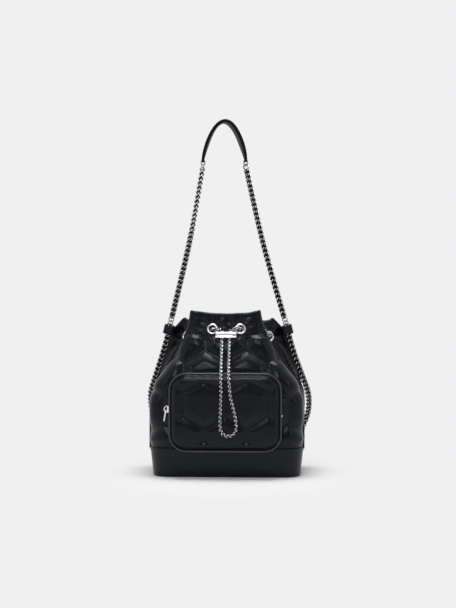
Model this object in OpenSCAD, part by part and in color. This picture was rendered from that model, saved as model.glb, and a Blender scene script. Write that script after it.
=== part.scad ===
// Drawstring bucket bag of black leather with chain hardware.
// Millimetres, +Z up, front faces -Y. The origin is the middle of the base underside.

/* [Base] */
// Width of the base band at its upper seam
base_w = 200; // [180:1:230]
// Depth of the base band, front to back
base_d = 120; // [100:1:140]
// Height of the smooth base band
base_h = 36; // [28:1:44]
// Corner radius of the base in plan
base_r = 28; // [20:1:36]
// How far each side of the band draws in towards the floor
base_draw = 4; // [0:0.5:5]
// Rounding of the lower edge of the band
base_edge = 6; // [3:0.5:8]
// Thickness of the leather walls with their padding
leather_t = 2.6; // [1.6:0.1:3.4]
// Thickness of the stiff board in the base
board_t = 2; // [1:0.25:4]
// Thickness of the cloth lining
lining_t = 0.8; // [0.6:0.1:1.4]

/* [Mouth] */
// Height of the front edge of the mouth at its corners
rim_h = 215; // [200:1:240]
// Width of the front edge of the mouth
rim_w = 88; // [76:1:104]
// Drop of the front edge at its middle
rim_dip = 4; // [0:0.5:8]
// Distance of the front edge from the middle plane
mouth_front = 41; // [34:1:48]
// Distance of the back edge from the middle plane
mouth_back = 40; // [34:1:48]
// Height at which the side folds begin
fold_z = 105; // [90:1:120]
// Height at which the front starts to lean back
lean_z = 141; // [138:1:150]
// Half width of the mouth at the valley of each side fold
valley_x = 31; // [24:1:36]
// Depth position of the valley
valley_y = -13; // [-20:1:-6]
// Depth position of the ear crease
ear_y = 6; // [0:1:12]
// Half width of the mouth at the tip of each ear
ear_tip = 58; // [52:1:62]
// Drop of the ear tip below the front corners
ear_drop = 10; // [6:1:14]
// Dip of the back edge between the ears and its middle
back_dip = 5; // [0:0.5:8]
// Drop of the valley below the front corners
valley_drop = 14; // [8:1:16]
// How early the folds close, as a power
fold_power = 1.5; // [1.2:0.1:2]

/* [Quilting] */
// Distance between neighbouring pads of the honeycomb
quilt_pitch = 54; // [46:1:62]
// Height of a pad above its channels
quilt_rise = 3; // [0.5:0.25:3.5]
// Half width of the flat channel between two pads
channel_half = 3; // [1:0.5:5]
// Width of the rounded edge of a pad
quilt_slope = 13; // [8:1:18]
// Height of the plain hem round the mouth
hem_h = 27; // [25:1:32]

/* [Eyelets] */
// Outer diameter of an eyelet flange
eyelet_od = 16; // [14:0.5:18]
// Bore of an eyelet
eyelet_id = 8.6; // [7.5:0.1:10]
// Thickness of an eyelet flange
eyelet_flange = 1.2; // [0.8:0.1:2]
// Height of the eyelet row below the mouth edge
eyelet_drop = 20; // [18:1:24]
// Spacing of the front eyelet pair
eyelet_gap = 36; // [30:1:44]

/* [Pocket] */
// Width of the pocket over its piping
pocket_w = 146; // [130:1:150]
// Height of the pocket over its piping
pocket_h = 103; // [90:1:104]
// Height of the lowest point of the pocket
pocket_z = 34; // [30:1:36]
// Corner radius of the pocket over its piping
pocket_r = 24; // [18:1:32]
// Width of the leather strip behind the zip
strip_back = 6; // [5:0.5:9]
// Width of the leather strip in front of the zip
strip_front = 5; // [4:0.5:8]
// Thickness of the strips
strip_t = 1.6; // [1.2:0.1:2.2]
// Diameter of the piping
piping_d = 4; // [3:0.1:5]
// Thickness of the padded pocket front at its middle
pad_crown = 8; // [6:0.5:10]

/* [Zip] */
// Width of the zip tape
tape_w = 6.4; // [6:0.1:8]
// Thickness of the zip tape
tape_t = 0.8; // [0.6:0.1:1.2]
// Diameter of the zip coil
coil_d = 2.4; // [1.8:0.1:2.8]
// Height of the slider along the left side
slider_z = 89; // [86:0.5:92]
// Length of the slider along the zip
slider_l = 8; // [7:0.5:10]
// Thickness of the slider over the coil
slider_t = 2.6; // [2.2:0.1:3.5]
// Radius of the bail over the slider
bail_r = 4; // [3.6:0.1:4.4]
// Length of the pull from its pin to its tip
pull_l = 14; // [12:0.5:20]
// Width of the pull
pull_w = 6.6; // [6.2:0.1:8]

/* [Strap chain] */
// Wire diameter of a strap link
link_wire = 2; // [1.8:0.1:2.2]
// Width over a strap link
link_w = 9.4; // [9:0.1:10.5]
// Inside length of a strap link
link_in = 11.5; // [11:0.1:13]
// Width of the woven lace
lace_w = 4.6; // [3:0.1:5]
// Thickness of the woven lace
lace_t = 1.4; // [1:0.1:1.6]

/* [Shoulder pad] */
// Height of the ring centres above the floor
strap_h = 412; // [380:1:450]
// Distance between the ring centres
ring_gap = 57; // [48:1:70]
// Rise of the pad above the ring pins
pad_rise = 51; // [44:1:60]
// How pointed the arch of the pad is, as a power
pad_point = 1.7; // [1.4:0.1:1.8]
// Width of the pad
pad_w = 20; // [16:1:26]
// Thickness of the outer leather of the pad
pad_outer_t = 2; // [1.6:0.1:2.6]
// Thickness of the backing leather of the pad
pad_back_t = 1.6; // [1.2:0.1:2]
// Sideways lean of the strap at the rings
strap_lean = -5; // [-8:0.5:8]
// Depth position of the strap
strap_y = 2; // [0:0.5:5]
// Wire diameter of the end rings
ring_wire = 2.2; // [1.8:0.1:2.4]
// Centre radius of the end rings
ring_r = 4.4; // [4.2:0.1:5]

/* [Side loops] */
// Half distance between the chain pivots at the loops
loop_x = 76.5; // [72:0.5:82]
// Height of the loop centres
loop_z = 190; // [186:1:194]
// Height of a loop along the chain
loop_h = 12; // [9:0.5:13]
// Thickness of the loop leather
loop_t = 1.8; // [1.4:0.1:2.4]

/* [Anchors] */
// Height of the anchor pins
anchor_z = 40; // [38:1:44]
// Width of an anchor tab
anchor_w = 14; // [12:0.5:18]
// Wire diameter of the anchor rings
dring_wire = 2.4; // [2:0.1:2.8]
// Centre radius of the bow of an anchor ring
dring_r = 7.2; // [7:0.1:8.5]

/* [Drawstring] */
// Wire diameter of a drawstring link
cord_wire = 1.3; // [1.1:0.05:1.4]
// Width over a drawstring link
cord_w = 5.4; // [5.2:0.1:6]
// Inside length of a drawstring link
cord_in = 5.9; // [5.6:0.1:6.6]
// Half distance between the two strands
strand_x = 4.8; // [4.4:0.1:6]
// Length of the toggle bar
toggle_l = 28; // [26:0.5:36]
// Height of the toggle bar along the strands
toggle_h = 9; // [7:0.5:11]
// Depth of the toggle bar
toggle_d = 9.6; // [9:0.1:11]
// Height of the toggle centre above the floor
toggle_z = 182; // [180:0.5:186]
// Height of the lowest point of the hanging loop centreline
loop_low = 56; // [50:1:70]

/* [Hidden] */

leather = [0.11, 0.11, 0.12];
smooth_leather = [0.15, 0.15, 0.16];
metal = [0.8, 0.8, 0.82];
cloth = [0.2, 0.19, 0.19];
fit = 0.3;       // running clearance between pieces that move
seat = 0.1;      // clearance between pieces that are sewn or glued together
play = 0.3;      // slack between neighbouring links
ring_fn = 36;
wire_fn = 20;

// Columns along one half of the wall: front, inner flank, outer flank, back
n_cols = [12, 3, 4, 16];
n_half = n_cols[0] + n_cols[1] + n_cols[2] + n_cols[3];
half_q = [for (i = [0:3]) for (j = [0:n_cols[i] - 1]) i + j / n_cols[i], 4];
col_front = n_cols[0];
col_ear = n_cols[0] + n_cols[1] + n_cols[2];
n_rows = 20;
steps_wall = [for (i = [0:n_rows]) i / n_rows];

ear_x = loop_x - link_w / 2 - play - loop_t - fit + 0.4;
half_run = (base_w - 2 * base_r) + (base_d - 2 * base_r) + PI * base_r;
share_front = (base_w / 2 - base_r + PI * base_r / 2) / half_run;
share_ear = share_front + (base_d - 2 * base_r - 6) / half_run;
shares = [0, share_front, 0.5, share_ear, 1];

function mix(a, b, t) = a + (b - a) * t;
function unit(v) = v / norm(v);
function clip(t) = max(0, min(1, t));

// Point of the rounded base outline, from the front middle (0) to the back middle (1)
function outline(share, w, d, r) =
  let (a = w / 2 - r, q = PI * r / 2, b = d - 2 * r, s = share * (2 * a + 2 * q + b))
  s <= a ? [s, -d / 2]
  : s <= a + q ? let (g = (s - a) / r * 180 / PI) [a + r * sin(g), -d / 2 + r - r * cos(g)]
  : s <= a + q + b ? [w / 2, -d / 2 + r + s - a - q]
  : s <= a + 2 * q + b ? let (g = (s - a - q - b) / r * 180 / PI)
    [a + r * cos(g), d / 2 - r + r * sin(g)]
  : [2 * a + 2 * q + b - s, d / 2];

// Mouth edge: place q runs 0 front middle, 1 front crease, 2 valley, 3 ear, 4 back middle
front_corner = [rim_w / 2, -mouth_front + 3];
valley = [valley_x, valley_y];
ear = [ear_tip, ear_y];
function part_of(q) = min(3, floor(q));
function mouth_xy(q) = let (i = part_of(q), t = q - i)
  i == 0 ? [t * rim_w / 2, mix(-mouth_front, front_corner.y, t * t)]
  : i == 1 ? mix(front_corner, valley, t)
  : i == 2 ? mix(valley, ear, t)
  : [ear_tip * cos(90 * t), mix(ear_y, mouth_back, sin(90 * t))];
function mouth_z(q) = let (i = part_of(q), t = q - i)
  i == 0 ? rim_h - rim_dip * (1 - t * t)
  : i == 1 ? rim_h - valley_drop * t * t
  : i == 2 ? rim_h - mix(valley_drop, ear_drop, pow(t, 6))
  : rim_h - mix(ear_drop, rim_dip, t * t) - back_dip * sin(180 * t);
function start_z(q) = let (i = part_of(q), t = q - i)
  i == 0 ? mix(lean_z, fold_z, t * t) : i < 3 ? fold_z : mix(fold_z, lean_z, t);
function share_of(q) = let (i = part_of(q)) mix(shares[i], shares[i + 1], q - i);

// The ear crease closes late, so that it passes the keeper at ear_x
ear_power = ln(1 - (base_w / 2 - ear_x) / (base_w / 2 - ear_tip))
  / ln(1 - (loop_z - fold_z) / (rim_h - ear_drop - fold_z));
function power_of(q) = let (i = part_of(q), t = q - i)
  i < 2 ? fold_power : i == 2 ? mix(fold_power, ear_power, t) : mix(ear_power, fold_power, min(1, 3 * t));

// Outer face of the wall on the right half at place q and height z
function wall(q, z) =
  let (t = clip((z - start_z(q)) / (mouth_z(q) - start_z(q))), w = 1 - pow(1 - t, power_of(q)),
       b = outline(share_of(q), base_w, base_d, base_r), p = mix(b, mouth_xy(q), w))
  [p.x, p.y, z];
function side(p, s) = [p.x * s, p.y, p.z];
function col_wrap(k) = (k + 2 * n_half) % (2 * n_half);
function col_q(k) = let (m = col_wrap(k)) half_q[m <= n_half ? m : 2 * n_half - m];
function col_s(k) = col_wrap(k) <= n_half ? 1 : -1;
function wall_col(k, v) = let (q = col_q(k)) side(wall(q, mix(base_h, mouth_z(q), v)), col_s(k));
function outward(a, b) = let (d = b - a) unit([d.y, -d.x, 0]);
function wall_inner(k, v, t) = wall_col(k, v) - t * outward(wall_col(k - 1, v), wall_col(k + 1, v));

// Outer face of the base band at height z
function band_in(z) = base_draw * (1 - z / base_h)
  + base_edge * (1 - sqrt(1 - pow(1 - min(1, z / base_edge), 2)));
function band_at(k, z, t) = let (e = band_in(z) + t,
  p = outline(share_of(col_q(k)), base_w - 2 * e, base_d - 2 * e, max(base_r - e, 4)))
  [p.x * col_s(k), p.y, z];

// Closed sheet between an outer and an inner grid of points
module sheet(a, b, ring = false) {
  rows = len(a);
  cols = len(a[0]);
  n = rows * cols;
  last = ring ? cols - 1 : cols - 2;
  function o(r, c) = r * cols + c % cols;
  function i(r, c) = n + o(r, c);
  faces = concat(
    [for (r = [0:rows - 2]) for (c = [0:last]) each [
      [o(r, c), o(r + 1, c), o(r + 1, c + 1)], [o(r, c), o(r + 1, c + 1), o(r, c + 1)],
      [i(r, c), i(r + 1, c + 1), i(r + 1, c)], [i(r, c), i(r, c + 1), i(r + 1, c + 1)]]],
    [for (c = [0:last]) each let (t = rows - 1) [
      [o(0, c), o(0, c + 1), i(0, c + 1)], [o(0, c), i(0, c + 1), i(0, c)],
      [o(t, c + 1), o(t, c), i(t, c)], [o(t, c + 1), i(t, c), i(t, c + 1)]]],
    ring ? [] : [for (r = [0:rows - 2]) each let (e = cols - 1) [
      [o(r + 1, 0), o(r, 0), i(r + 1, 0)], [o(r, 0), i(r, 0), i(r + 1, 0)],
      [o(r, e), o(r + 1, e), i(r + 1, e)], [o(r, e), i(r + 1, e), i(r, e)]]]);
  polyhedron([for (g = [a, b]) for (row = g) each row], faces);
}

// Honeycomb of pads: the rise at a point, by its distance from the nearest channel
quilt_row = quilt_pitch * sqrt(3) / 2;
quilt_z = pocket_z + pocket_h + 6 - quilt_row;
function cell_in(x, y, j) = let (u = x - (j % 2 == 0 ? 0 : quilt_pitch / 2),
  dx = abs(u - quilt_pitch * round(u / quilt_pitch)), dy = abs(y - j * quilt_row))
  max(dx, dx / 2 + dy * sqrt(3) / 2);
function pad_at(x, y) = let (j = floor(y / quilt_row),
  d = quilt_pitch / 2 - min(cell_in(x, y, j), cell_in(x, y, j + 1)))
  quilt_rise * (1 - pow(1 - clip((d - channel_half) / quilt_slope), 2));
// Pads on the back, and on the front above the pocket and beside the toggle, below the plain hem
function pad_room(q, p) = clip((mouth_z(q) - p.z - hem_h) / 9) * (
  q >= 3 ? clip((p.z - base_h - 8) / 8) * clip((q - 3) * 6)
  : q <= 1 ? clip((p.z - pocket_z - pocket_h - 2) / 6) * clip((1 - q) * 14)
    * clip((abs(p.x) - toggle_l / 2) / 8) : 0);
function wall_outer(k, v) = let (p = wall_col(k, v), q = col_q(k), room = pad_room(q, p))
  room == 0 ? p : p + room * pad_at(p.x, p.z - quilt_z) * outward(wall_col(k - 1, v), wall_col(k + 1, v));

module wall_panel(k0, k1) sheet(
  [for (v = steps_wall) [for (k = [k0:k1]) wall_outer(k, v)]],
  [for (v = steps_wall) [for (k = [k0:k1]) wall_inner(k, v, leather_t)]]);

// Tube or bar through sections of equal point count, closed at both ends
module loft(s) {
  n = len(s[0]);
  e = (len(s) - 1) * n;
  polyhedron([for (r = s) each r], concat(
    [[for (j = [0:n - 1]) j]], [[for (j = [n - 1:-1:0]) e + j]],
    [for (r = [0:len(s) - 2]) for (j = [0:n - 1]) each let (k = (j + 1) % n)
      [[r * n + j, (r + 1) * n + j, (r + 1) * n + k], [r * n + j, (r + 1) * n + k, r * n + k]]]));
}

// Smooth route through chosen points, and places along it
function bend(a, b, c, d, t) = 0.5 * (2 * b + (c - a) * t + (2 * a - 5 * b + 4 * c - d) * t * t
  + (3 * b - a - 3 * c + d) * t * t * t);
function route(p, m = 10) = let (e = len(p) - 1) [for (i = [0:e - 1]) for (j = [0:m - 1])
  bend(p[max(i - 1, 0)], p[i], p[i + 1], p[min(i + 2, e)], j / m), p[e]];
function runs(p) = [for (i = 0, s = 0; i < len(p); s = s + (i < len(p) - 1 ? norm(p[i + 1] - p[i]) : 0),
  i = i + 1) s];
function place(p, c, s) = let (i = max(0, min(len(p) - 2, len([for (x = c) if (x <= s) 1]) - 1)))
  mix(p[i], p[i + 1], (s - c[i]) / (c[i + 1] - c[i]));
function places(p, n) = let (c = runs(p), l = c[len(c) - 1]) [for (i = [0:n]) place(p, c, l * i / n)];
function length_of(p) = let (c = runs(p)) c[len(c) - 1];
function count_of(p, pitch, odd) = let (n = ceil(length_of(p) / pitch)) n + (n % 2 == odd ? 0 : 1);

// One link of round wire along Z, face in the XZ plane
module link(inside, wide, wire) {
  r = wire / 2;
  a = wide / 2 - r;
  s = round((inside / 2 - a + r) * 50) / 50;
  for (e = [0, 180]) rotate([0, e, 0]) {
    translate([0, 0, s]) rotate([90, 0, 0]) rotate_extrude(angle = 180, $fn = ring_fn)
      translate([a, 0]) circle(r = r, $fn = wire_fn);
    translate([a, 0, -s]) cylinder(r = r, h = 2 * s, $fn = wire_fn);
  }
}
module along(p, d, roll, ref = [0, 1, 0]) {
  e = unit(cross(ref, d));
  f = cross(d, e);
  multmatrix([[e.x, f.x, d.x, p.x], [e.y, f.y, d.y, p.y], [e.z, f.z, d.z, p.z], [0, 0, 0, 1]])
    rotate([0, 0, roll]) children();
}
// Links between the joints, in turn face on and edge on, with the same slack at each joint
module chain(joints, wide, wire, first, ref = [0, 1, 0]) for (i = [0:len(joints) - 2]) {
  d = joints[i + 1] - joints[i];
  turn = mix(ref, [0, 1, 0], i / (len(joints) - 2));
  along((joints[i] + joints[i + 1]) / 2, unit(d), first + 90 * (i % 2), turn)
    link(norm(d) + play, wide, wire);
}

// Lace that weaves from face to face of a chain
module lace(joints, swing) {
  m = 4;
  e = (len(joints) - 1) * m;
  mid = [for (i = [0:e]) let (j = min(floor(i / m), len(joints) - 2))
    mix(joints[j], joints[j + 1], i / m - j)];
  loft([for (i = [1:e - 1]) let (d = unit(mid[i + 1] - mid[i - 1]), x = unit(cross([0, 1, 0], d)),
    y = cross(d, x), c = mid[i] + y * swing * sin(90 * i / m + 45))
    [for (k = [[-1, -1], [1, -1], [1, 1], [-1, 1]]) c + x * k.x * lace_w / 2 + y * k.y * lace_t / 2]]);
}

// Base
module base_band() color(smooth_leather) {
  levels = concat([for (a = [0:22.5:90]) base_edge * (1 - cos(a))], [base_h * 0.5, base_h]);
  sheet([for (z = levels) [for (k = [0:2 * n_half - 1]) band_at(k, z, 0)]],
    [for (z = levels) [for (k = [0:2 * n_half - 1]) band_at(k, z, leather_t)]], ring = true);
}
floor_in = band_in(0) + leather_t + seat;
module floor_plate(e, z, t) translate([0, 0, z]) linear_extrude(t)
  round_rect(base_w - 2 * e, base_d - 2 * e, max(base_r - e, 4));
module base_panel() color(smooth_leather) floor_plate(floor_in, 0, leather_t);
module base_board() color("dimgray") floor_plate(floor_in, leather_t + seat, board_t);
lining_z = leather_t + board_t + 2 * seat;
module lining_floor() color(cloth) floor_plate(floor_in + lining_t + 4 * seat, lining_z, lining_t);

// Walls
module front_panel() color(leather) difference() {
  wall_panel(-col_front, col_front);
  for (s = [-1, 1]) eyelet_hole(q_front, s);
}
module back_panel() color(leather) difference() {
  wall_panel(col_ear, 2 * n_half - col_ear);
  for (s = [-1, 1]) eyelet_hole(q_back, s);
}
module gusset(s) difference() {
  wall_panel(s > 0 ? col_front : 2 * n_half - col_ear, s > 0 ? col_ear : 2 * n_half - col_front);
  for (q = [q_flank, q_outer]) eyelet_hole(q, s);
}
module left_gusset() color(leather) gusset(-1);
module right_gusset() color(leather) gusset(1);
lining_steps = [for (v = steps_wall) if (v < 0.75) v];
lining_low = [lining_z, base_edge, base_h * 0.5];
function liner(t) = let (cols = [0:2 * n_half - 1]) concat(
  [for (z = lining_low) [for (k = cols) band_at(k, z, t)]],
  [for (v = lining_steps) [for (k = cols) wall_inner(k, v, t)]]);
lining_in = leather_t + 3 * seat;
module lining() color(cloth) sheet(liner(lining_in), liner(lining_in + lining_t), ring = true);

// Eyelets: places on the wall and the frame of each one
q_near = eyelet_gap / 2 / wall(1, rim_h - eyelet_drop).x;
q_front = q_near * eyelet_gap / 2 / wall(q_near, eyelet_z(q_near)).x;
q_flank = 1.52;
q_outer = 2.5;
q_back = 3.82;
function eyelet_z(q) = mouth_z(q) - eyelet_drop;
function wall_normal(q, z) = let (d = 0.04, a = max(part_of(q), q - d), b = min(part_of(q) + 1, q + d))
  unit(cross(wall(b, z) - wall(a, z), wall(q, z + 3) - wall(q, z - 3)));
module on_wall(q, s) {
  p = wall(q, eyelet_z(q));
  n = wall_normal(q, eyelet_z(q));
  mirror([s > 0 ? 0 : 1, 0, 0]) translate(p) rotate([0, acos(n.z), atan2(n.y, n.x)]) children();
}
barrel_r = eyelet_id / 2 + 0.8;
module eyelet_hole(q, s) on_wall(q, s) translate([0, 0, -4 * leather_t])
  cylinder(r = barrel_r + seat, h = 8 * leather_t, $fn = ring_fn);
module eyelet(q, s) on_wall(q, s) translate([0, 0, -leather_t - eyelet_flange - 2 * seat]) difference() {
  union() {
    cylinder(r = barrel_r, h = leather_t + 2 * eyelet_flange + 3 * seat, $fn = ring_fn);
    cylinder(r = eyelet_od / 2 - 1, h = eyelet_flange, $fn = ring_fn);
    translate([0, 0, leather_t + eyelet_flange + 3 * seat])
      cylinder(r1 = eyelet_od / 2, r2 = eyelet_od / 2 - 0.8, h = eyelet_flange, $fn = ring_fn);
  }
  translate([0, 0, -1]) cylinder(r = eyelet_id / 2, h = leather_t + 2 * eyelet_flange + 3, $fn = ring_fn);
}
module front_eyelets() color(metal) for (s = [-1, 1]) eyelet(q_front, s);
module side_eyelets() color(metal) for (s = [-1, 1]) for (q = [q_flank, q_outer]) eyelet(q, s);
module back_eyelets() color(metal) for (s = [-1, 1]) eyelet(q_back, s);

// Pocket, built outwards from the front face of the bag
pocket_back = -base_d / 2 - seat;
pocket_mid = pocket_z + pocket_h / 2;
piping_r = piping_d / 2;
y_tape = pocket_back - strip_back;
y_front = y_tape - tape_w;
y_piping = y_front - strip_front - piping_r - seat;
y_face = y_front - strip_front;
strip_w = pocket_w - piping_d;
strip_h = pocket_h - piping_d;
strip_r = pocket_r - piping_r;
module round_rect(w, h, r) {
  square([w - 2 * r, h], center = true);
  square([w, h - 2 * r], center = true);
  for (x = [-1, 1]) for (y = [-1, 1]) translate([x * (w / 2 - r), y * (h / 2 - r)]) circle(r = r, $fn = 64);
}
// Band of thickness t from depth y0 forward by l, inset e from the strip outline
module strip_outline(e) round_rect(strip_w - 2 * e, strip_h - 2 * e, strip_r - e);
module pocket_band(y0, l, e, t) translate([0, y0, pocket_mid]) rotate([90, 0, 0]) linear_extrude(l)
  difference() {
    strip_outline(e);
    strip_outline(e + t);
  }
module pocket_strip_back() color(leather) pocket_band(pocket_back, strip_back, 0, strip_t);
module pocket_strip_front() color(leather) pocket_band(y_front, strip_front, 0, strip_t);
module zip_tape() color(cloth) pocket_band(y_tape, tape_w, (strip_t - tape_t) / 2, tape_t);
module corner_tube(w, h, r, wire, sx) translate([sx * (w / 2 - r), 0, h / 2 - r])
  rotate([90, 0, 0]) rotate([0, 0, sx > 0 ? 0 : 90]) rotate_extrude(angle = 90, $fn = 64)
    translate([r, 0]) circle(r = wire, $fn = wire_fn);
module pocket_piping() color(smooth_leather) translate([0, y_piping, pocket_mid]) {
  for (e = [0, 180]) rotate([0, e, 0]) {
    for (s = [-1, 1]) corner_tube(strip_w, strip_h, strip_r, piping_r, s);
    translate([strip_w / 2, 0, -strip_h / 2 + strip_r])
      cylinder(r = piping_r, h = strip_h - 2 * strip_r, $fn = wire_fn);
    translate([-strip_w / 2 + strip_r, 0, strip_h / 2]) rotate([0, 90, 0])
      cylinder(r = piping_r, h = strip_w - 2 * strip_r, $fn = wire_fn);
  }
}
// Ring of points round the pocket, inset e, at depth y
function pocket_ring(e, y) = let (w = strip_w / 2 - e, h = strip_h / 2 - e, r = max(strip_r - e, 3), n = 9)
  [for (c = [[1, 1, 0], [-1, 1, 90], [-1, -1, 180], [1, -1, 270]]) for (i = [0:n - 1])
    let (g = c.z + 90 * i / (n - 1))
    [c.x * (w - r) + r * cos(g), y, pocket_mid + c.y * (h - r) + r * sin(g)]];
face_in = piping_r + seat;
module pocket_front() color(leather) {
  y0 = y_face - seat;
  crown = [[0, 0], [0, 3], [0.6, 4.4], [2, 5.6], [4.5, 6.5], [12, 7.3], [24, 7.8], [38, 8]];
  loft([for (c = crown) pocket_ring(face_in + c.x, y0 - c.y * pad_crown / 8)]);
}

// Zip
coil_r = coil_d / 2;
tape_out = (strip_t - tape_t) / 2;
coil_off = coil_r + seat - tape_out;
coil_w = strip_w + 2 * coil_off;
coil_h = strip_h + 2 * coil_off;
coil_c = strip_r + coil_off;
y_zip = y_tape - tape_w / 2;
coil_end = slider_z - slider_l / 2 - 3;
module zip_coil() color("black") translate([0, y_zip, pocket_mid]) {
  for (s = [-1, 1]) corner_tube(coil_w, coil_h, coil_c, coil_r, s);
  for (s = [-1, 1]) translate([s * coil_w / 2, 0, coil_end - pocket_mid])
    cylinder(r = coil_r, h = coil_h / 2 - coil_c - coil_end + pocket_mid, $fn = wire_fn);
  translate([-coil_w / 2 + coil_c, 0, coil_h / 2]) rotate([0, 90, 0])
    cylinder(r = coil_r, h = coil_w - 2 * coil_c, $fn = wire_fn);
}
stop_h = 2.4;
module zip_stops() color(metal) for (s = [-1, 1]) translate([s * coil_w / 2, y_zip, coil_end - stop_h - seat])
  cylinder(r = coil_r, h = stop_h, $fn = ring_fn);
slider_x = -coil_w / 2;
slider_d = tape_w - 2 * fit;
slider_face = slider_x - coil_r - slider_t + 1;
slider_back = -strip_w / 2 + tape_out - fit;
module zip_slider() color(metal) {
  difference() {
    translate([slider_face, y_zip - slider_d / 2, slider_z - slider_l / 2])
      cube([slider_back - slider_face, slider_d, slider_l]);
    translate([slider_x, y_zip, slider_z - slider_l])
      cylinder(r = coil_r + fit, h = 2 * slider_l, $fn = ring_fn);
  }
  translate([slider_face, y_zip, slider_z]) rotate([90, 0, 0]) rotate([0, 0, 90])
    rotate_extrude(angle = 180, $fn = ring_fn) translate([bail_r, 0]) circle(r = 0.8, $fn = wire_fn);
}
pin_r = 0.75;
pull_x = slider_face - 1.7;
pull_z = slider_z - 1.2;
pull_tilt = 10;
pull_gap = 2 * bail_r - 0.8;
module zip_pull() color(metal) translate([pull_x, y_zip, pull_z]) rotate([0, pull_tilt, 0]) {
  rotate([90, 0, 0]) cylinder(r = pin_r, h = pull_w, center = true, $fn = ring_fn);
  for (s = [-1, 1]) translate([-pin_r, s * (pull_w / 2 - pin_r) - pin_r, -pull_gap])
    cube([2 * pin_r, 2 * pin_r, pull_gap]);
  translate([-pin_r, -pull_w / 2, -pull_l]) cube([2 * pin_r, pull_w, pull_l - pull_gap]);
}

// Strap chain routes, right side; s mirrors them to the left
pivot = [loop_x, strap_y, loop_z + loop_h / 2 + 5];
loop_dir = unit([-5, -2, 21]);
loop_mid = pivot - loop_dir * ((pivot.z - loop_z) / loop_dir.z);
link_pitch = link_in - play;
anchor_q = 0.5 + (base_d / 2 - base_r + PI * base_r / 4) / half_run;
anchor_foot = outline(anchor_q, base_w, base_d, base_r);
anchor_out = 6;
anchor_pin = [anchor_foot.x + anchor_out * sin(45), anchor_foot.y + anchor_out * sin(45), anchor_z];
dring_lean = 18;
dring_top = anchor_pin + dring_r * [sin(45) * sin(dring_lean), sin(45) * sin(dring_lean), cos(dring_lean)];
dring_dir = unit(dring_top - anchor_pin);
chain_foot = dring_top - dring_dir * (dring_wire / 2);
anchor_t = [-sin(45), sin(45), 0];
lower_pts = [chain_foot, chain_foot + 11 * dring_dir, [base_w / 2 + 5, 57, 69], [base_w / 2 + 8, 46, 86],
  [base_w / 2 + 6.5, 32, 106], [base_w / 2 - 2, 18, 130], [base_w / 2 - 11, 9, 155],
  loop_mid - 11 * loop_dir, loop_mid, pivot];
lower_route = route(lower_pts);
n_lower = count_of(lower_route, link_pitch, 1);
lower_joints = places(lower_route, n_lower);
function ring_mid(s) = [s * ring_gap / 2 + strap_lean, strap_y, strap_h];
chain_end = ring_r - ring_wire / 2 - play / 2;
function upper_route(s) = let (a = side(pivot, s), b = ring_mid(s) - [0, 0, chain_end],
  m = (a + b) / 2 - [s * 3, 0, 0]) route([a, m, b], 24);
n_upper = count_of(upper_route(1), link_pitch, 1);
function upper_joints(s) = places(upper_route(s), n_upper);
function flip(p) = [for (a = p) side(a, -1)];
module left_lower_chain() color(metal) chain(flip(lower_joints), link_w, link_wire, 0, side(anchor_t, -1));
module right_lower_chain() color(metal) chain(lower_joints, link_w, link_wire, 0, anchor_t);
module left_upper_chain() color(metal) chain(upper_joints(-1), link_w, link_wire, 90);
module right_upper_chain() color(metal) chain(upper_joints(1), link_w, link_wire, 90);
lace_swing = 2.2;
function cut(p, a, b) = [for (i = [a:len(p) - 1 - b]) p[i]];
module left_lower_lace() color(leather) lace(cut(flip(lower_joints), 1, 1), lace_swing);
module right_lower_lace() color(leather) lace(cut(lower_joints, 1, 1), lace_swing);
module left_upper_lace() color(leather) lace(cut(upper_joints(-1), 1, 2), lace_swing);
module right_upper_lace() color(leather) lace(cut(upper_joints(1), 1, 2), lace_swing);

// Leather keepers on the ears, round the chain
loop_in = link_w + 2 * play + 0.2;
module keeper(s) along(side(loop_mid, s), unit(side(loop_dir, s)), 0) difference() {
  cube([loop_in + 2 * loop_t, loop_in + 2 * loop_t, loop_h], center = true);
  cube([loop_in, loop_in, loop_h + 2], center = true);
}
module left_loop() color(smooth_leather) keeper(-1);
module right_loop() color(smooth_leather) keeper(1);

// Anchors at the back corners of the base
tab_t = 3.4;
tab_h = 18;
barrel_out = dring_wire / 2 + fit + 1.6;
barrel_l = 2 * (sqrt(pow(dring_r - dring_wire / 2, 2) - pow(barrel_out, 2)) - fit);
module at_anchor(s) mirror([s > 0 ? 0 : 1, 0, 0]) translate(anchor_pin) rotate([0, 0, -45]) children();
module anchor_tab(s) at_anchor(s) difference() {
  union() {
    rotate([0, 90, 0]) cylinder(r = barrel_out, h = barrel_l, center = true, $fn = ring_fn);
    translate([-anchor_w / 2, seat - anchor_out, -tab_h]) cube([anchor_w, tab_t, tab_h]);
  }
  rotate([0, 90, 0]) cylinder(r = dring_wire / 2 + fit, h = anchor_w + 2, center = true, $fn = ring_fn);
}
module left_anchor_tab() color(smooth_leather) anchor_tab(-1);
module right_anchor_tab() color(smooth_leather) anchor_tab(1);
module dring(s) at_anchor(s) rotate([-dring_lean, 0, 0]) {
  rotate([0, 90, 0]) cylinder(r = dring_wire / 2, h = 2 * dring_r, center = true, $fn = ring_fn);
  rotate([90, 0, 0]) rotate_extrude(angle = 180, $fn = ring_fn) translate([dring_r, 0])
    circle(r = dring_wire / 2, $fn = wire_fn);
}
module left_dring() color(metal) dring(-1);
module right_dring() color(metal) dring(1);

// Shoulder pad on its rings
module strap_rings() color(metal) for (s = [-1, 1]) translate(ring_mid(s)) rotate([90, 0, 0])
  rotate_extrude($fn = ring_fn) translate([ring_r, 0]) circle(r = ring_wire / 2, $fn = wire_fn);
pin_z = strap_h + ring_r;
pad_tail = 3.2;
pad_end_w = 7;
pad_t = pad_outer_t + pad_back_t;
pad_span = ring_gap / 2;
pad_n = 30;
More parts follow.
